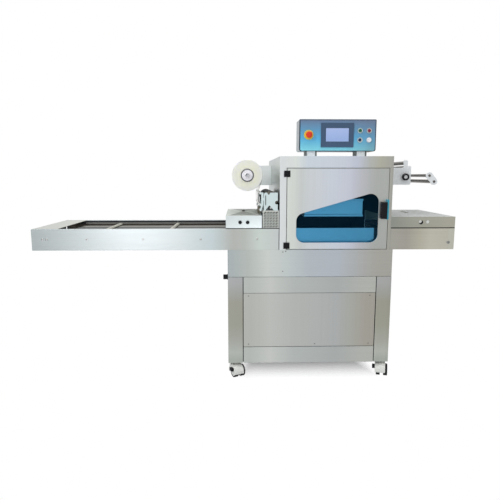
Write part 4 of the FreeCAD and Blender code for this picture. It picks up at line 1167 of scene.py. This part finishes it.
def makeButtons():
    low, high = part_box("buttons")
    front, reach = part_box("control_face")[0].y, control["nodeRadius"]
    left, right, bottom, top = low.x + reach, high.x - reach, low.z + reach, high.z - reach
    rings = []
    for x, z in ((left, bottom), (left, top), (right, bottom), (right, top)):
        ring = addRod("buttonRing", (x, front - control["ringHeight"], z), control["ringRadius"],
                      control["ringHeight"], "y", 40, 0)
        insetFaces(ring, facesFront, (control["ringInset"], -control["ringDish"]))
        rings.append(softenEdges(ring, 0.0007))
    seat(joinPieces("buttonRings", rings), "ring", slotName="button_mixed", replaces=["buttons"])
    for name, x, z, key in (("startCap", left, top, "green"), ("haltCap", right, top, "crimson"),
                            ("modeCap", left, bottom, "navy"), ("lampCap", right, bottom, "pearl")):
        radius = control["capRadius"] * (control["lampShare"] if name == "lampCap" else 1)
        length = control["capLengths"][name]
        cap = addRod(name, (x, front - length, z), radius, length - 0.001, "y", 40, 0.0015, 3)
        seat(cap, key, slotName="button_mixed")
    handle = addBlock("modeHandle", (left - 0.0025, front - control["handleFront"], bottom - 0.008),
                      (left + 0.0025, front - control["handleBack"], bottom + 0.008), 0.001)
    seat(handle, "navy", slotName="button_mixed")


def makeStop():
    middle = middleOf("stop_button")
    middle.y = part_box("control_face")[0].y
    x, front, z = middle
    height = control["stopRingHeight"]
    ring = addRod("stopRing", (x, front - height, z), control["stopRing"], height, "y", 64, 0)
    editFaces(ring, facesFront)
    bpy.ops.transform.resize(value=(0.9, 1, 0.9), center_override=middle)
    bpy.ops.mesh.inset(thickness=0.009, depth=-0.002)
    leaveEdit()
    seat(softenEdges(ring, 0.0008), "yellow", slotName="stop_red", replaces=["stop_button"])
    cap = addRod("stopCap", (x, front - control["stopFront"], z), control["stopNeck"], control["stopLength"],
                 "y", 48, 0)
    editFaces(cap, facesFront)
    bpy.ops.transform.translate(value=(0, 0.014, 0))
    for reach, share in control["stopSteps"]:
        extrudeBy((0, -reach, 0), (share, 1, share), middle)
    leaveEdit()
    seat(softenEdges(cap, 0.0012, 3, 25), "red", slotName="stop_red")


def makeScreen():
    dressNode("touch_screen", "bezel", edge=0.0012)
    low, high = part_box("touch_screen")
    inset, (front, back) = control["glassInset"], control["glassDepths"]
    glassLow = Vector((low.x + inset, low.y + front, low.z + control["glassFoot"]))
    glassHigh = Vector((high.x - inset, low.y + back, high.z - control["glassTop"]))
    finish["screen"] = screenMaterial(glassLow, glassHigh)
    seat(addBlock("screenGlass", glassLow, glassHigh, 0.0002, 1), "screen", slotName="screen_dark")


def makeFeet(top):
    # bent brackets: a pale web between two dark legs
    front, back = control["footsY"]
    leg, heel = control["footLeg"], front + control["footLegDepth"]
    bottom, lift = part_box("control_box")[0].z, control["footHeel"]
    webs, legs = [], []
    for left in control["footsX"]:
        right = left + control["footWidth"]
        web = addBlock("footWeb", (left + leg, front + lift, bottom), (right - leg, back - lift, top), 0)
        insetFaces(web, lambda centre, normal: abs(normal.y) > 0.9, (0.004, -0.0015))
        webs.append(softenEdges(web, 0.0006))
        for x in (left, right - leg):
            side = addBlock("footLeg", (x, front, bottom + lift), (x + leg, heel, top), 0)
            editFaces(side, lambda centre, normal: normal.z < -0.9)
            extrudeBy((0, 0, -lift), (0.9, 0.97, 1), (x + leg / 2, (front + heel) / 2, bottom))
            leaveEdit()
            legs.append(softenEdges(side, 0.0008))
    seat(joinPieces("footWebs", webs), "support", slotName=slotOf["control_box"])
    seat(joinPieces("footLegs", legs), "foot", slotName=slotOf["control_box"])


def dressControls():
    low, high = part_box("control_face")
    middle = (low + high) / 2
    floor, crown = low.z - 0.0002, high.z - control["crownDepth"]
    box = copyNode("control_box")
    splitAt(box, (0, 0, floor), (0, 0, 1), clear_inner=True, use_fill=True)
    softenEdges(box, 0.0012)
    seat(box, "box", "rim", "rimTop", slotName=slotOf["control_box"], replaces=["control_box"])
    paintFaces(box, 1, lambda centre, normal: centre.y < high.y + 0.004)
    paintFaces(box, 2, lambda centre, normal: centre.y < high.y + 0.004 and centre.z >= crown)
    makeFeet(floor)
    face = dressNode("control_face", "face", "rim", "rimTop", edge=0)
    insetFaces(face, facesFront, (control["faceRim"], 0))
    paintFaces(face, 1, lambda centre, normal: normal.y > -0.9 or abs(centre.x - middle.x) > 0.1
               or abs(centre.z - middle.z) > 0.03)
    paintFaces(face, 2, lambda centre, normal: centre.z > crown)
    makeScreen()
    makeStop()
    makeButtons()


def dressDoorFittings():
    fittings = dressNode("door_fittings", "black", "cyan", edge=0.0012)
    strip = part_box("door_panel")[1].x - control["stripWidth"]
    paintFaces(fittings, 1, lambda centre, normal: centre.x > strip)
    dressNode("frame_hinge_leaves", "black")


dressControls()
dressDoorFittings()
print("controls dressed")

# Casters

caster = {
    "wheelRadius": 0.038,
    "wheelWidth": 0.024,
    "wheelSpacing": 0.046,
    # the wheel's face from the tread inwards: widths and depths
    "hubSteps": ((0.0085, 0), (0.0015, -0.002), (0.015, 0), (0.001, 0.0018)),
    "axleRadius": 0.006,
    "hoodSide": 0.0443,
}


def casterMatrix(index):
    # the caster's own frame: its swivel axis on the floor, its axle along Y
    x, y = jointOf["caster_%d_swivel" % index]["pos_m"][:2]
    axis = jointOf["caster_%d_roll" % index]["axis"]
    return Matrix.Translation((x, y, 0)) @ Matrix.Rotation(math.atan2(-axis[0], axis[1]), 4, "Z")


def makeWheels(index):
    radius, width, half = caster["wheelRadius"], caster["wheelWidth"], caster["wheelSpacing"] / 2
    wheels = []
    for side in (-1, 1):
        wheel = addRod("wheel", (0, side * half - width / 2, 0), radius, width, "y", 48, 0)
        insetFaces(wheel, lambda centre, normal: abs(normal.y) > 0.9, *caster["hubSteps"])
        wheels.append(softenEdges(wheel, 0.002, 3))
    wheels.append(addRod("axle", (0, -half, 0), caster["axleRadius"], 2 * half, "y", 24))
    pair = joinPieces("caster%dWheels" % index, wheels)
    paintPiece(pair, "rubber", "white")
    hub = radius - caster["hubSteps"][0][0]
    paintFaces(pair, 1, lambda centre, normal: math.hypot(centre.x, centre.z) < hub)
    roll = Vector(jointOf["caster_%d_roll" % index]["pos_m"])
    pair.matrix_world = Matrix.Translation(roll) @ casterMatrix(index).to_3x3().to_4x4()
    node = "caster_%d_wheels" % index
    seat(setInMesh(pair), body="caster_%d_wheel" % index, slotName=slotOf[node], replaces=[node])


def dressCasters():
    dressNode("caster_plates", "bright", edge=0.0006)
    for index in range(1, 5):
        hood = dressNode("caster_%d_fork" % index, "white", "black", edge=0.003, segments=3)
        home = casterMatrix(index).inverted()
        paintFaces(hood, 1, lambda centre, normal: (home @ centre).y < -caster["hoodSide"])
        makeWheels(index)


dressCasters()
print("casters dressed")

# Studio: camera, floor, lamps, world

studio = {
    "eyeX": -0.0406,
    "eyeBack": 2.928,          # from the machine's front plane
    "eyeHeight": 1.2851,
    "pitch": 8.8,
    "yaw": 1.4,
    "lens": 34.56,
    "floorSize": 30.0,
    "floorDrop": 0.0005,
    "floorMiddle": (0.4065, 0.0),
    "shadeAcross": (0.33, 0.46),        # the shadow fades out between these reaches, from side to side
    "shadeDeep": (0.2, 0.52),           # and from front to back
    "floorGlow": 0.12,
    "fill": 0.5,
    # what bare metal mirrors, from the far left to the far right
    "walls": ((-0.5, (0.6, 0.63, 0.66, 1)), (-0.22, (1, 1, 1, 1)), (0.15, (1, 1, 1, 1)),
              (0.3, (0.42, 0.41, 0.37, 1)), (0.44, (0.68, 0.67, 0.63, 1))),
    # each lamp's place, what it is aimed at, width, height and power
    "lamps": {
        "keyLamp": ((-2.4, -3.2, 3.2), (0, 0, 0.9), 2.0, 2.0, 52),
        "stripLamp": ((-1.3, -3.3, 0.9), (-0.65, -0.5, 0.9), 0.6, 1.4, 6),
        "fillLamp": ((2.8, -3.0, 2.4), (0.2, 0, 0.9), 2.0, 2.0, 5),
        "topLamp": ((0.2, 0, 4.2), (0.2, 0, 0), 3.6, 3.6, 68),
    },
}


def makeCamera():
    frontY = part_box("base_frame")[0].y
    bpy.ops.object.camera_add(location=(studio["eyeX"], frontY - studio["eyeBack"], studio["eyeHeight"]))
    camera = bpy.context.object
    camera.rotation_euler = (math.radians(90 - studio["pitch"]), 0, math.radians(-studio["yaw"]))
    camera.data.lens = studio["lens"]
    camera.data.sensor_width = 36
    camera.data.clip_end = 60
    bpy.context.scene.camera = camera


def makeLamps():
    for name, (place, target, width, height, power) in studio["lamps"].items():
        bpy.ops.object.light_add(type="AREA", location=place)
        lamp = bpy.context.object
        lamp.name = name
        lamp.data.shape = "RECTANGLE"
        lamp.data.size = width
        lamp.data.size_y = height
        lamp.data.energy = power
        lamp.rotation_euler = (Vector(target) - Vector(place)).to_track_quat("-Z", "Y").to_euler()


def makeWorld():
    # white to look at; soft fill for everything else; metal finds it a little dimmer on the right
    world = bpy.data.worlds.new("studioWorld")
    bpy.context.scene.world = world
    world.use_nodes = True
    tree = world.node_tree
    tree.nodes.clear()
    place = addNode(tree, "TexCoord").outputs["Generated"]
    across = addRange(tree, addNode(tree, "SeparateXYZ", {0: place}).outputs["X"], 0, 1, -1, 1)
    walls = addRamp(tree, across, [((side + 1) / 2, colour) for side, colour in studio["walls"]])
    fill = addNode(tree, "Background", {"Color": (0.94, 0.97, 1.0, 1), "Strength": studio["fill"]})
    mirrored, white = [addNode(tree, "Background", {"Color": colour}) for colour in (walls, grey(1))]
    lit = mixShaders(tree, anyRay(tree, "Is Glossy Ray"), fill.outputs[0], mirrored.outputs[0])
    whole = mixShaders(tree, anyRay(tree, "Is Camera Ray", "Is Transmission Ray"), lit, white.outputs[0])
    addNode(tree, "OutputWorld", {"Surface": whole})


def makeFloor():
    # pale floor that keeps the shadow under the machine and runs out into the white background
    pickOnly()
    bpy.ops.mesh.primitive_plane_add(size=studio["floorSize"], location=(0, 0, -studio["floorDrop"]))
    floor = bpy.context.object
    floor.name = "studioFloor"
    material = newMaterial("floorWhite", grey(0.86), 0.95)
    tree = material.node_tree
    seen = anyRay(tree, "Is Camera Ray", "Is Glossy Ray", "Is Transmission Ray")
    setShader(material, {"Specular IOR Level": 0.0, "Emission Color": grey(1),
                         "Emission Strength": addRange(tree, seen, 0, studio["floorGlow"], 0, 1)})
    middleX, middleY = studio["floorMiddle"]
    place = addNode(tree, "Mapping", {"Vector": objectPlace(tree), "Location": (-middleX, -middleY, 0)})
    reach = addNode(tree, "VectorMath", {0: place.outputs["Vector"]}, operation="ABSOLUTE")
    split = addNode(tree, "SeparateXYZ", {0: reach.outputs["Vector"]}).outputs
    across, deep = [addRange(tree, split[axis], 0, 1, *studio[key])
                    for axis, key in (("X", "shadeAcross"), ("Y", "shadeDeep"))]
    fade = addNode(tree, "Math", {0: across, 1: deep}, operation="MAXIMUM")
    clear = addNode(tree, "BsdfTransparent")
    whole = mixShaders(tree, fade.outputs[0], tree.nodes["Principled BSDF"].outputs[0], clear.outputs[0])
    fillSocket(tree, tree.nodes["Material Output"].inputs["Surface"], whole)
    floor.data.materials.append(material)


makeCamera()
makeLamps()
makeWorld()
makeFloor()
bpy.context.scene.view_settings.view_transform = "Standard"
print("studio ready")
